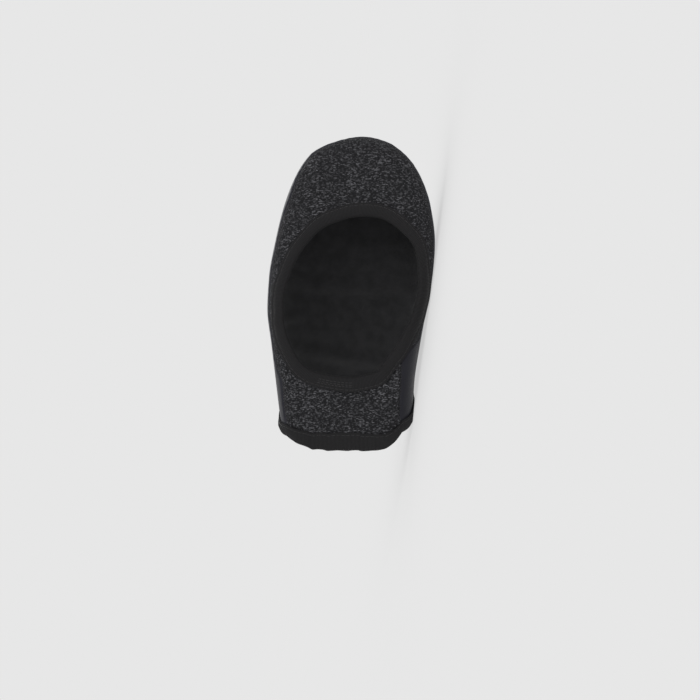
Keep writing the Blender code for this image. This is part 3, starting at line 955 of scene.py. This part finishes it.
def set_modifier_inputs(item: bpy.types.Object, tree: bpy.types.NodeTree, **values: object) -> None:
    """Put a Geometry Nodes tree on an object and set its named inputs by identifier.

    Args:
        item: The object.
        tree: The tree.
        values: Input values by their name, with underscores for spaces.
    """
    modifier = item.modifiers.new(tree.name, "NODES")
    modifier.node_group = tree
    for socket in tree.interface.items_tree:
        if socket.in_out == "INPUT" and socket.name.replace(" ", "_").lower() in values:
            modifier[socket.identifier] = values[socket.name.replace(" ", "_").lower()]
    item.update_tag()


def new_geometry_tree(name: str, floats: Sequence[str]) -> tuple[NodeGraph, object, object]:
    """Start a Geometry Nodes tree with named sizes and a material.

    Args:
        name: Name of the tree.
        floats: Names of its sizes.

    Returns:
        The tree's graph, its input node and its output node.
    """
    tree = bpy.data.node_groups.new(name, "GeometryNodeTree")
    tree.interface.new_socket("Geometry", in_out="INPUT", socket_type="NodeSocketGeometry")
    for size in floats:
        tree.interface.new_socket(size, in_out="INPUT", socket_type="NodeSocketFloat")
    tree.interface.new_socket("Material", in_out="INPUT", socket_type="NodeSocketMaterial")
    tree.interface.new_socket("Geometry", in_out="OUTPUT", socket_type="NodeSocketGeometry")
    graph = NodeGraph(tree)
    return graph, graph.add("NodeGroupInput"), graph.add("NodeGroupOutput")


def finish_tree(graph: NodeGraph, given: object, result: object, geometry: object) -> None:
    """End a tree in Realize Instances and Set Material."""
    realize = graph.add("GeometryNodeRealizeInstances")
    graph.feed(realize, "Geometry", geometry)
    paint = graph.add("GeometryNodeSetMaterial")
    graph.feed(paint, "Geometry", realize.outputs["Geometry"])
    graph.feed(paint, "Material", given.outputs["Material"])
    graph.feed(result, "Geometry", paint.outputs["Geometry"])


def rib_tree() -> bpy.types.NodeTree:
    """Make the tree that raises ribs across a tape, from its point attribute "along"."""
    name = "tape_ribs"
    if name in bpy.data.node_groups:
        return bpy.data.node_groups[name]
    graph, given, result = new_geometry_tree(name, ("Pitch", "Height"))
    along = graph.add("GeometryNodeInputNamedAttribute", data_type="FLOAT")
    graph.feed(along, "Name", "along")
    turn = graph.calculate("DIVIDE", along.outputs["Attribute"], given.outputs["Pitch"])
    wave = graph.calculate("COSINE", graph.calculate("MULTIPLY", turn, FULL_TURN))
    rise = graph.calculate("MULTIPLY", wave, given.outputs["Height"])
    offset = graph.add("ShaderNodeVectorMath", operation="SCALE")
    graph.feed(offset, 0, graph.add("GeometryNodeInputNormal").outputs["Normal"])
    graph.feed(offset, "Scale", rise)
    moved = graph.add("GeometryNodeSetPosition")
    graph.feed(moved, "Geometry", given.outputs["Geometry"])
    graph.feed(moved, "Offset", offset.outputs["Vector"])
    finish_tree(graph, given, result, moved.outputs["Geometry"])
    return graph.tree


def stitch_tree() -> bpy.types.NodeTree:
    """Make the tree that lays stitches on a line, upright by its point attribute "up"."""
    name = "stitches"
    if name in bpy.data.node_groups:
        return bpy.data.node_groups[name]
    sizes = ("Pitch", "Stitch Length", "Thread Radius", "Bow", "Slant")
    graph, given, result = new_geometry_tree(name, sizes)
    curve = graph.add("GeometryNodeMeshToCurve")
    graph.feed(curve, "Mesh", given.outputs["Geometry"])
    spaced = graph.add("GeometryNodeResampleCurve", mode="LENGTH")
    graph.feed(spaced, "Curve", curve.outputs["Curve"])
    graph.feed(spaced, "Length", given.outputs["Pitch"])
    half = graph.calculate("MULTIPLY", given.outputs["Stitch Length"], 0.5)
    low = graph.calculate("MULTIPLY", given.outputs["Bow"], -1.0)
    ends = []
    for x, z in ((graph.calculate("MULTIPLY", half, -1.0), low), (0.0, given.outputs["Bow"]), (half, low)):
        point = graph.add("ShaderNodeCombineXYZ")
        graph.feed(point, "X", x)
        graph.feed(point, "Z", z)
        ends.append(point.outputs["Vector"])
    arc = graph.add("GeometryNodeCurveQuadraticBezier")
    graph.feed(arc, "Resolution", 5)
    for label, end in zip(("Start", "Middle", "End"), ends):
        graph.feed(arc, label, end)
    ring = graph.add("GeometryNodeCurvePrimitiveCircle")
    graph.feed(ring, "Resolution", 6)
    graph.feed(ring, "Radius", given.outputs["Thread Radius"])
    thread = graph.add("GeometryNodeCurveToMesh")
    graph.feed(thread, "Curve", arc.outputs["Curve"])
    graph.feed(thread, "Profile Curve", ring.outputs["Curve"])
    graph.feed(thread, "Fill Caps", True)
    up = graph.add("GeometryNodeInputNamedAttribute", data_type="FLOAT_VECTOR")
    graph.feed(up, "Name", "up")
    forward = graph.add("FunctionNodeAlignRotationToVector", axis="X")
    graph.feed(forward, "Vector", graph.add("GeometryNodeInputTangent").outputs["Tangent"])
    upright = graph.add("FunctionNodeAlignRotationToVector", axis="Z", pivot_axis="X")
    graph.feed(upright, "Rotation", forward.outputs["Rotation"])
    graph.feed(upright, "Vector", up.outputs["Attribute"])
    odd = graph.calculate("MODULO", graph.add("GeometryNodeInputIndex").outputs["Index"], 2.0)
    sign = graph.calculate("MULTIPLY_ADD", odd, 2.0, -1.0)
    slant = graph.add("ShaderNodeCombineXYZ")
    graph.feed(slant, "Z", graph.calculate("MULTIPLY", sign, given.outputs["Slant"]))
    turned = graph.add("FunctionNodeRotateRotation", rotation_space="LOCAL")
    graph.feed(turned, "Rotation", upright.outputs["Rotation"])
    graph.feed(turned, "Rotate By", slant.outputs["Vector"])
    laid = graph.add("GeometryNodeInstanceOnPoints")
    graph.feed(laid, "Points", spaced.outputs["Curve"])
    graph.feed(laid, "Instance", thread.outputs["Mesh"])
    graph.feed(laid, "Rotation", turned.outputs["Rotation"])
    finish_tree(graph, given, result, laid.outputs["Instances"])
    return graph.tree


@dataclass
class StitchRow:
    """A row of stitches in black thread along a line on the cloth."""

    name: str
    kind: Stitching = Stitching.STRAIGHT
    length: float = 0.0023
    gap: float = 0.0005
    thread_radius: float = 0.00016
    bow: float = 0.00012
    slant: float = math.radians(62.0)

    def build(
        self, line: np.ndarray, up: np.ndarray, closed: bool, material: bpy.types.Material
    ) -> bpy.types.Object:
        """Lay the stitches.

        Args:
            line: Points of the line, in the row's frame.
            up: The cloth's normal at each point.
            closed: Whether the line closes on itself.
            material: The thread's material.

        Returns:
            The stitches as one piece.
        """
        count = len(line)
        edges = [(index, index + 1) for index in range(count - 1)]
        if closed:
            edges.append((count - 1, 0))
        mesh = bpy.data.meshes.new(self.name)
        mesh.from_pydata(line.tolist(), edges, [])
        normal = mesh.attributes.new("up", "FLOAT_VECTOR", "POINT")
        normal.data.foreach_set("vector", up.reshape(-1).astype(np.float32))
        item = bpy.data.objects.new(self.name, mesh)
        bpy.context.scene.collection.objects.link(item)
        zigzag = self.kind is Stitching.ZIGZAG
        pitch = self.length * math.cos(self.slant) if zigzag else self.length + self.gap
        whole = distance_along(line, closed)[-1]
        set_modifier_inputs(
            item, stitch_tree(), pitch=whole / round(whole / pitch), stitch_length=self.length,
            thread_radius=self.thread_radius, bow=self.bow, slant=self.slant * self.kind.value,
            material=material,
        )
        apply_modifiers(item)
        item.data.shade_smooth()
        return item


@dataclass
class Upper:
    """The hollow upper of softshell: toe, sides and instep, with soft creases."""

    last: Last
    rest: Rest
    leaf: float = 0.0052
    columns: int = 340
    under_rows: int = 22
    side_rows: int = 72
    ridge_closeness: float = 1.4
    crease_fade: float = 0.015
    evenness: float = 0.25
    seam_dip: float = 0.0008
    seam_reach: float = 0.0022
    pucker: float = 0.00026
    pucker_length: float = 0.0042
    stitch_depth: float = 0.00060
    merge: float = 0.00001

    def column_sweeps(self, place: float) -> np.ndarray:
        """Sweeps of the columns on one row, closer together towards the cuff."""
        share = np.linspace(-1.0, 1.0, self.columns + 1)
        share = share * (1.0 + self.evenness) - self.evenness * share**3
        inner = self.last.cuff_sweep(Side.INNER, place)
        outer = -self.last.cuff_sweep(Side.OUTER, place)
        return share * np.where(share > 0.0, inner, outer)

    def places(self) -> np.ndarray:
        """Places of the rows, from the seam up to the ridge."""
        under = -(np.linspace(1.0, 0.0, self.under_rows + 1)[:-1] ** 0.8)
        side = 1.0 - np.linspace(1.0, 0.0, self.side_rows + 1) ** self.ridge_closeness
        return np.concatenate([under, side])

    def closed_ridge(self, rows: np.ndarray, normals: np.ndarray) -> np.ndarray:
        """Give both sides the same normals on the ridge, and one at the pole over the toe."""
        normals[-1] = unit(normals[-2] + normals[-2, ::-1])
        pole = rows[-1, :, 0] <= self.last.fan_station * self.last.length
        normals[-1, pole] = unit(normals[-2, pole].mean(axis=0))
        return normals

    def creases(self, station: np.ndarray, sweeps: np.ndarray, places: np.ndarray) -> np.ndarray:
        """Height of the soft creases at each point, positive outwards."""
        around = np.sign(sweeps) * (1.0 - places[:, None])
        fade = smooth_share((station - self.last.fan_station * self.last.length) / self.crease_fade)
        return fade * sum(crease.height(station, around) for crease in UPPER_CREASES)

    def build(self, shell: bpy.types.Material, lining: bpy.types.Material) -> bpy.types.Object:
        """Make the upper.

        Args:
            shell: Material of the outer face.
            lining: Material of the inner face.

        Returns:
            The upper as one closed wall of cloth.
        """
        places = self.places()
        sweeps = np.array([self.column_sweeps(place) for place in places])
        rows = np.array([
            self.last.side_wall(sweep, place) for sweep, place in zip(sweeps, places)
        ])
        inset = np.array([
            self.last.cuff_inset(sweep, place) for sweep, place in zip(sweeps, places)
        ])
        free = past_leaf(inset, self.leaf)
        down = distance_down(rows)
        along = distance_along(rows[0], False)
        near = 1.0 - smooth_share(down / self.seam_reach)
        lip = 1.0 - smooth_share(down / (3.0 * self.seam_reach))
        waves = ripple(along, self.pucker_length, 3)[None, :] * lip
        height = self.creases(rows[..., 0], sweeps, places)
        height = (height - self.seam_dip * near + self.pucker * waves) * free
        normals = self.closed_ridge(rows, -surface_normals(rows, False))
        rows = rows + normals * height[..., None]
        cover = (self.last.clearance + self.last.tape) * (1.0 - free)
        laid = self.rest.lay(rows, cover)
        across = np.broadcast_to(along, down.shape)
        item = make_sheet("dressed_upper", laid, across, down, closed=False, flipped=False)
        steps = np.linalg.norm(np.diff(rows, axis=1), axis=-1)
        grain = smooth_share(np.concatenate([steps, steps[:, -1:]], axis=1) / steps[0].mean())
        value = item.data.attributes.new("grain", "FLOAT", "POINT")
        value.data.foreach_set("value", grain.reshape(-1).astype(np.float32))
        item.data.materials.append(shell)
        item.data.materials.append(lining)
        merge_doubles(item, self.merge)
        thicken(item, self.last.wall, lined=True)
        return item

    def seam(self) -> tuple[np.ndarray, np.ndarray]:
        """Points along the middle of the seam that shows, and the cloth's normals there."""
        share = np.linspace(-1.0, 1.0, 900)
        inner = self.last.cuff_sweep(Side.INNER, -1.0, 1.4 * self.leaf)
        outer = -self.last.cuff_sweep(Side.OUTER, -1.0, 1.4 * self.leaf)
        sweep = share * np.where(share > 0.0, inner, outer)
        turn = self.last.seam_turn(sweep)
        rows = np.array([
            self.last.turned_under(sweep, turn + step) for step in (0.02, 0.0, -0.02)
        ])
        normals = -surface_normals(rows, False)[1]
        line = rows[1] - normals * self.stitch_depth
        return self.rest.lay(line), unit(self.rest.direction(normals))


@dataclass(frozen=True)
class Crease:
    """A soft trough round a part of the upper, with a low ridge on each side.

    Around runs over the upper: -2 at the outer seam, 0 on the ridge and 2 at the inner seam.
    """

    start: float
    end: float
    station: float
    slant: float
    bow: float
    width: float
    depth: float
    ridge: float = 0.5

    def height(self, station: np.ndarray, around: np.ndarray) -> np.ndarray:
        """Height of the crease at each point, positive outwards."""
        share = (around - self.start) / (self.end - self.start)
        middle = self.station + self.slant * (share - 0.5) + self.bow * (2.0 * share - 1.0) ** 2
        off = np.abs(station - middle)
        inside = smooth_share(3.0 * share) * smooth_share(3.0 - 3.0 * share)
        trough = np.exp(-((off / self.width) ** 2))
        shoulder = np.exp(-(((off - 1.8 * self.width) / self.width) ** 2))
        return inside * self.depth * (self.ridge * shoulder - trough)


UPPER_CREASES = (
    Crease(-0.90, -0.15, 0.069, 0.012, 0.003, 0.0032, 0.0007),
    Crease(-0.94, 0.35, 0.083, 0.010, -0.004, 0.0036, 0.0011),
    Crease(-0.78, -0.25, 0.103, -0.010, 0.003, 0.0028, 0.0006),
    Crease(-0.92, 0.25, 0.122, 0.014, 0.002, 0.0034, 0.0009),
    Crease(-0.85, -0.40, 0.139, -0.008, 0.002, 0.0026, 0.0005),
    Crease(0.10, 0.95, 0.075, -0.010, 0.003, 0.0030, 0.0007),
    Crease(0.05, 0.86, 0.098, -0.012, -0.003, 0.0032, 0.0008),
    Crease(0.20, 0.93, 0.118, 0.008, 0.002, 0.0028, 0.0006),
    Crease(-0.45, 0.70, 0.061, 0.004, 0.002, 0.0036, 0.0004),
    Crease(-0.50, 0.75, 0.138, -0.006, 0.003, 0.0028, 0.0006),
)


@dataclass
class SolePanel:
    """The knit underneath: toe, two rails and a bridge round the cleat opening."""

    last: Last
    rest: Rest
    upper: Upper
    hem_columns: int = 130
    rows: int = 40
    leaf_rows: int = 6
    seam_dip: float = 0.0008
    seam_reach: float = 0.0020
    pucker: float = 0.00026
    pucker_length: float = 0.0042
    narrow: float = 0.004
    least_rail: float = 0.0012
    merge: float = 0.00005
    slack: float = 0.00022
    slack_length: float = 0.0140

    def outer_plan(self) -> np.ndarray:
        """Plan points round the panel: along the seam, then back along the cuff."""
        sweep = self.upper.column_sweeps(-1.0)
        turn = self.last.seam_turn(sweep) - self.last.seam_allowance(sweep)
        seam = self.last.turned_under(sweep, turn)[:, :2]
        share = np.linspace(1.0, 0.0, self.hem_columns + 1)[1:-1]
        return np.concatenate([seam, self.last.hem_plan(share)])

    def build(
        self, binding: "CleatBinding", knit: bpy.types.Material, lining: bpy.types.Material
    ) -> bpy.types.Object:
        """Make the panel.

        Args:
            binding: The tape round the opening, which covers the panel's edge.
            knit: Material of the outer face.
            lining: Material of the inner face.

        Returns:
            The panel as one closed wall of cloth.
        """
        outer = self.outer_plan()
        offset = outer - self.last.opening_centre()
        bearing = np.arctan2(offset[:, 1], -offset[:, 0])
        room = np.linalg.norm(outer - self.last.opening_plan(bearing, 0.0), axis=-1)
        leaf = np.minimum(binding.leaf(bearing), room - self.least_rail)
        shares = np.linspace(0.0, 1.0, self.leaf_rows + 1)[::-1]
        covered = np.array([self.last.opening_plan(bearing, leaf * share) for share in shares])
        width = np.linalg.norm(covered[0] - outer, axis=-1)
        steps = np.linspace(0.0, 1.0, self.rows + 1)[:-1] ** 1.5
        free_rows = outer + (covered[0] - outer) * steps[:, None, None]
        plan = np.concatenate([free_rows, covered])
        rows = self.last.underside(plan)
        down = np.concatenate([steps[:, None] * width, np.broadcast_to(width, covered.shape[:2])])
        reach = np.minimum(self.seam_reach, 0.6 * width)
        columns = self.upper.columns + 1
        cuff = self.last.cuff_inset(self.upper.column_sweeps(-1.0), -1.0)
        free = np.zeros(len(outer))
        free[:columns] = past_leaf(cuff, self.upper.leaf)
        free *= smooth_share(width / self.narrow)
        near = (1.0 - smooth_share(down / reach)) * free
        along = np.zeros(len(outer))
        along[:columns] = distance_along(rows[0, :columns], False)
        lip = (1.0 - smooth_share(down / (3.0 * reach))) * free
        waves = ripple(along, self.pucker_length, 5)[None, :] * lip
        open_share = smooth_share(down / 0.004) * smooth_share((width - down) / 0.004)
        slack = ripple(plan[..., 0], self.slack_length, 7) * ripple(plan[..., 1], self.slack_length, 8)
        height = self.pucker * waves - self.seam_dip * near + self.slack * slack * open_share
        normals = surface_normals(rows, True)
        rows = rows + normals * height[..., None]
        flat = self.last.unrolled(plan)
        across = np.concatenate([flat[..., 1], flat[:, :1, 1]], axis=1)
        station = np.concatenate([flat[..., 0], flat[:, :1, 0]], axis=1)
        laid = self.rest.lay(rows)
        item = make_sheet("dressed_sole_panel", laid, across, station, closed=True, flipped=True)
        item.data.materials.append(knit)
        item.data.materials.append(lining)
        merge_doubles(item, self.merge)
        thicken(item, self.last.wall, lined=True)
        return item


@dataclass
class Binding:
    """A ribbed stretch tape folded round a raw edge and sewn through both of its leaves."""

    last: Last
    rest: Rest
    name: str = ""
    rib_pitch: float = 0.00075
    rib_height: float = 0.00006
    points_a_rib: int = 5
    leaf_rows: int = 14
    fold_rows: int = 7
    inner_rows: int = 4
    puff: float = 0.00035
    stitch_inset: float = 0.0013
    stitch_groove: float = 0.00018
    stitch_groove_width: float = 0.0005
    wander: float = 0.00012
    wander_length: float = 0.0080
    lift: float = 0.0
    seed: int = 0
    joint_half: float = 0.0085
    joint_insets: tuple[float, ...] = ()
    top: np.ndarray = field(default_factory=lambda: np.zeros((0, 0, 3)))
    up: np.ndarray = field(default_factory=lambda: np.zeros((0, 0, 3)))
    seat: np.ndarray = field(default_factory=lambda: np.zeros((0, 0)))

    def rings(self, shares: np.ndarray) -> tuple[np.ndarray, np.ndarray]:
        """Rings of cloth under the tape, and the leaf's width at each column."""
        raise NotImplementedError

    def build(self, material: bpy.types.Material) -> bpy.types.Object:
        """Make the tape.

        Args:
            material: Its material.

        Returns:
            The tape as one closed piece.
        """
        shares = np.linspace(0.0, 1.0, self.leaf_rows + 1)
        rings, leaf = self.rings(shares)
        rings = self.rest.lay(rings, self.lift)
        normals = surface_normals(rings, True)
        inside = rings.mean(axis=(0, 1)) + np.array([0.0, 0.02, 0.0])
        if ((rings - inside) * normals).sum() < 0.0:
            normals = -normals
        edge = rings[0] - rings[1]
        edge = unit(edge - normals[0] * (edge * normals[0]).sum(axis=-1, keepdims=True))
        loop = distance_along(rings[0], True)
        radius = self.last.wall / 2.0 + self.last.clearance
        seat = shares[:, None] * leaf
        stitch_at = leaf - self.stitch_inset
        ahead = np.clip(seat / stitch_at, 0.0, 1.0)
        swell = self.puff * np.sin(math.pi * ahead) ** 0.7
        groove = self.stitch_groove * np.exp(-(((seat - stitch_at) / self.stitch_groove_width) ** 2))
        roll = self.wander * ripple(loop[:-1], self.wander_length, self.seed, loop[-1])
        rise = self.last.clearance + swell * (1.0 + 2.0 * roll / self.wander * 0.2) - groove
        rise = np.maximum(rise, 0.0001) + np.abs(roll) * np.sin(math.pi * ahead)
        top = rings + normals * (rise + self.last.tape)[..., None]
        middle = rings[0] - normals[0] * (self.last.wall / 2.0)
        angles = np.linspace(0.0, math.pi, self.fold_rows + 2)[1:-1]
        outer_radius = radius + self.last.tape
        fold = np.array([
            middle + outer_radius * (normals[0] * math.cos(angle) + edge * math.sin(angle))
            for angle in angles
        ])
        back = rings[: self.leaf_rows // 2 + 1 : 2] - normals[: self.leaf_rows // 2 + 1 : 2] * (
            self.last.wall + self.last.clearance + self.last.tape
        )
        rows = np.concatenate([top[::-1], fold, back])
        down = np.concatenate([distance_down(rows), distance_down(rows)[:, :1]], axis=1)
        pitch = loop[-1] / round(loop[-1] / self.rib_pitch)
        scale = self.rib_pitch / pitch
        across = np.broadcast_to(loop * scale, down.shape)
        outward = surface_normals(rows, True)
        turned = (outward[0] * normals[-1]).sum() < 0.0
        item = make_sheet(self.name, rows, across, down, closed=True, flipped=turned)
        line = item.data.attributes.new("along", "FLOAT", "POINT")
        values = np.broadcast_to(loop[:-1], rows.shape[:2]).reshape(-1)
        line.data.foreach_set("value", values.astype(np.float32))
        item.data.materials.append(material)
        set_modifier_inputs(
            item, rib_tree(), pitch=pitch, height=self.rib_height, material=material
        )
        apply_modifiers(item)
        thicken(item, self.last.tape, lined=False)
        self.top, self.up, self.seat = top, normals, seat
        return item

    def line_at(self, inset: np.ndarray) -> tuple[np.ndarray, np.ndarray]:
        """Points of the line on the outer leaf at an inset from the cloth's edge, and normals."""
        row = np.clip(np.abs(self.seat - inset).argmin(axis=0), 1, len(self.seat) - 2)
        column = np.arange(self.top.shape[1])
        share = (inset - self.seat[row, column]) / (self.seat[1] - self.seat[0])
        toward = row + np.sign(share).astype(int)
        mix = np.abs(share)[:, None]
        line = self.top[row, column] * (1.0 - mix) + self.top[toward, column] * mix
        return line, self.up[row, column]

    def edge_line(self) -> tuple[np.ndarray, np.ndarray]:
        """Line and normals of the seam that holds the leaf's edge."""
        return self.line_at(self.seat[-1] - self.stitch_inset)

    def joint_lines(self) -> list[tuple[np.ndarray, np.ndarray]]:
        """Short lines and normals of the seams that join the tape's ends behind the opening."""
        back = int(np.argmin(self.top[0, :, 0]))
        around = distance_along(self.top[0], True)
        near = np.abs(around[:-1] - around[back]) < self.joint_half
        lines = []
        for inset in self.joint_insets:
            line, up = self.line_at(np.full(near.shape, inset))
            lines.append((line[near], up[near]))
        return lines


@dataclass
class CleatBinding(Binding):
    """The tape round the cleat opening, wider in front and behind than beside it."""

    name: str = "dressed_cleat_binding"
    leaf_toe: float = 0.0058
    leaf_back: float = 0.0065
    leaf_side: float = 0.0042
    seed: int = 21

    def leaf(self, bearing: np.ndarray) -> np.ndarray:
        """Width of the outer leaf."""
        ends = np.where(np.cos(bearing) > 0.0, self.leaf_toe, self.leaf_back)
        return self.leaf_side + (ends - self.leaf_side) * np.cos(bearing) ** 2

    def rings(self, shares: np.ndarray) -> tuple[np.ndarray, np.ndarray]:
        """Rings of cloth from the opening's edge to the leaf's edge, evenly spaced."""
        fine = np.linspace(0.0, FULL_TURN, 1441)
        around = distance_along(self.last.underside_row(self.last.opening_plan(fine, 0.0)), False)
        count = self.points_a_rib * round(around[-1] / self.rib_pitch)
        bearing = np.interp(np.arange(count) * around[-1] / count, around, fine)
        leaf = self.leaf(bearing)
        plan = np.array([self.last.opening_plan(bearing, leaf * share) for share in shares])
        return self.last.underside(plan), leaf


@dataclass
class CuffBinding(Binding):
    """The tape round the whole cuff, widest underneath."""

    name: str = "dressed_collar_binding"
    leaf_back: float = 0.0086
    leaf_front: float = 0.0052
    side_points: int = 260
    hem_points: int = 300
    leaf_power: float = 0.8
    ease_points: int = 9
    puff: float = 0.00055
    wander: float = 0.00025
    seed: int = 33

    def ring(self, share: float) -> tuple[np.ndarray, np.ndarray]:
        """One ring of cloth, inset from the cuff's edge by a share of the leaf."""
        places = np.linspace(-1.0, 1.0, self.side_points)
        points = []
        for side, ordered in ((Side.INNER, places), (Side.OUTER, places[::-1][1:])):
            for place in ordered:
                inset = share * self.leaf_front
                sweep = np.array(self.last.cuff_sweep(side, place, inset))
                points.append(self.last.side_wall(sweep, float(place)))
        hem = np.linspace(0.0, 1.0, self.hem_points + 1)[1:-1]
        widening = np.sin(math.pi * hem) ** self.leaf_power
        leaf = self.leaf_front + (self.leaf_back - self.leaf_front) * widening
        under = self.last.underside_row(self.last.hem_plan(hem, share * leaf))
        widths = np.concatenate([np.full(len(points), self.leaf_front), leaf])
        return np.concatenate([np.array(points), under]), widths

    def rings(self, shares: np.ndarray) -> tuple[np.ndarray, np.ndarray]:
        """Rings of cloth from the cuff's edge to the leaf's edge, evenly spaced."""
        made = [self.ring(float(share)) for share in shares]
        edge = made[0][0]
        around = distance_along(edge, True)
        count = self.points_a_rib * round(around[-1] / self.rib_pitch)
        spots = np.arange(count) * around[-1] / count
        rings = []
        for points, _ in made:
            ring = np.concatenate([points, points[:1]])
            even = np.stack([np.interp(spots, around, ring[:, k]) for k in range(3)], axis=-1)
            rings.append(eased(even, self.ease_points))
        widths = np.concatenate([made[0][1], made[0][1][:1]])
        return np.array(rings), np.interp(spots, around, widths)


class Sun(NamedTuple):
    """A broad soft light: where it comes from, its strength and its breadth."""

    name: str
    place: tuple[float, float, float]
    strength: float
    breadth: float


SUNS = (
    Sun("key", (0.8, -1.3, 0.8), 0.9, math.radians(40.0)),
    Sun("fill", (-1.1, -1.0, 0.6), 0.3, math.radians(70.0)),
    Sun("rim", (0.5, 1.2, 0.9), 0.6, math.radians(50.0)),
)


@dataclass
class Studio:
    """The floor, the light and the camera."""

    last: Last
    rest: Rest
    distance: float = 1.5
    field_of_view: float = math.radians(14.86)
    aim_station: float = 0.1211
    backdrop: float = 0.799
    floor_glow: float = 0.68
    floor_size: float = 8.0
    floor_near: float = 1.2
    floor_far: float = 3.6

    def camera(self) -> None:
        """Look straight at the underside with the toe up, as the photograph does."""
        foot = self.rest.direction(np.array([[0.0, 0.0, 1.0], [-1.0, 0.0, 0.0]]))
        ahead = Vector(foot[0])
        up = Vector(foot[1])
        right = ahead.cross(up)
        aim = self.rest.lay(np.array([self.aim_station, 0.0, 0.0]))
        data = bpy.data.cameras.new("camera")
        data.angle = self.field_of_view
        data.clip_end = 50.0
        item = bpy.data.objects.new("camera", data)
        bpy.context.scene.collection.objects.link(item)
        turn = Matrix((right, up, -ahead)).transposed().to_4x4()
        item.matrix_world = Matrix.Translation(Vector(aim) - ahead * self.distance) @ turn
        bpy.context.scene.camera = item

    def floor_shade(self) -> float:
        """Shade that makes the lit floor as bright as the backdrop."""
        lit = self.backdrop
        for sun in SUNS:
            lit += sun.strength * Vector(sun.place).normalized().z / math.pi
        return self.backdrop * (1.0 - self.floor_glow) / lit

    def floor(self) -> None:
        """Lay a pale floor that glows a little and fades into the backdrop."""
        material = bpy.data.materials.new("pale_floor")
        material.use_nodes = True
        graph = NodeGraph(material.node_tree)
        shader = material.node_tree.nodes["Principled BSDF"]
        shade = self.floor_shade()
        graph.feed(shader, "Base Color", grey(shade, shade, shade))
        graph.feed(shader, "Roughness", 1.0)
        graph.feed(shader, "Specular IOR Level", 0.0)
        graph.feed(shader, "Emission Color", grey(self.backdrop, self.backdrop, self.backdrop))
        graph.feed(shader, "Emission Strength", self.floor_glow)
        place = graph.add("ShaderNodeTexCoord").outputs["Object"]
        far = graph.add("ShaderNodeVectorMath", operation="LENGTH")
        graph.feed(far, 0, place)
        fade = graph.remap(far.outputs["Value"], self.floor_near, self.floor_far, 1.0, 0.0)
        graph.feed(shader, "Alpha", fade)
        half = self.floor_size / 2.0
        corners = [(-half, -half, 0.0), (half, -half, 0.0), (half, half, 0.0), (-half, half, 0.0)]
        mesh = bpy.data.meshes.new("floor")
        mesh.from_pydata(corners, [], [(0, 1, 2, 3)])
        mesh.materials.append(material)
        item = bpy.data.objects.new("floor", mesh)
        bpy.context.scene.collection.objects.link(item)

    def light(self) -> None:
        """Light the cover softly from all round and from three broad suns."""
        world = bpy.data.worlds.new("backdrop")
        world.use_nodes = True
        shade = grey(self.backdrop, self.backdrop, self.backdrop)
        world.node_tree.nodes["Background"].inputs["Color"].default_value = shade
        bpy.context.scene.world = world
        for sun in SUNS:
            data = bpy.data.lights.new(sun.name, "SUN")
            data.energy = sun.strength
            data.angle = sun.breadth
            item = bpy.data.objects.new(sun.name, data)
            bpy.context.scene.collection.objects.link(item)
            turn = (-Vector(sun.place)).to_track_quat("-Z", "Y").to_matrix().to_4x4()
            item.matrix_world = Matrix.Translation(sun.place) @ turn

    def build(self) -> None:
        """Set up the whole studio."""
        bpy.context.scene.view_settings.view_transform = "Standard"
        self.light()
        self.floor()
        self.camera()


def main() -> None:
    """Build the dressed cover and its studio."""
    logging.basicConfig(level=logging.INFO, format="%(name)s %(message)s")
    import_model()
    last = Last()
    rest = Rest()
    shell, knit, tape = SOFTSHELL.build(), KNIT.build(), TAPE.build()
    lining, thread = LINING.build(), THREAD.build()
    upper = Upper(last, rest)
    place_piece(upper.build(shell, lining), "upper_cloth", "upper")
    opening = CleatBinding(last, rest, joint_insets=(0.0012, 0.0024, 0.0034))
    panel = SolePanel(last, rest, upper)
    place_piece(panel.build(opening, knit, lining), "heather_knit", "sole_panel")
    place_piece(opening.build(tape), "binding_tape", "cleat_binding")
    cuff = CuffBinding(last, rest, lift=last.clearance + last.tape)
    place_piece(cuff.build(tape), "binding_tape", "collar_binding")
    for name, binding in (("cleat_stitches", opening), ("collar_stitches", cuff)):
        line, up = binding.edge_line()
        place_piece(StitchRow(name).build(line, up, True, thread), "binding_tape")
    for index, (line, up) in enumerate(opening.joint_lines()):
        row = StitchRow(f"joint_stitches_{index}", length=0.0016, gap=0.0003)
        place_piece(row.build(line, up, False, thread), "binding_tape")
    seam_row = StitchRow("seam_stitches", Stitching.ZIGZAG, length=0.0017, thread_radius=0.00012)
    line, up = upper.seam()
    place_piece(seam_row.build(line, up, False, thread), "binding_tape")
    Studio(last, rest).build()


if __name__ == "__main__":
    main()
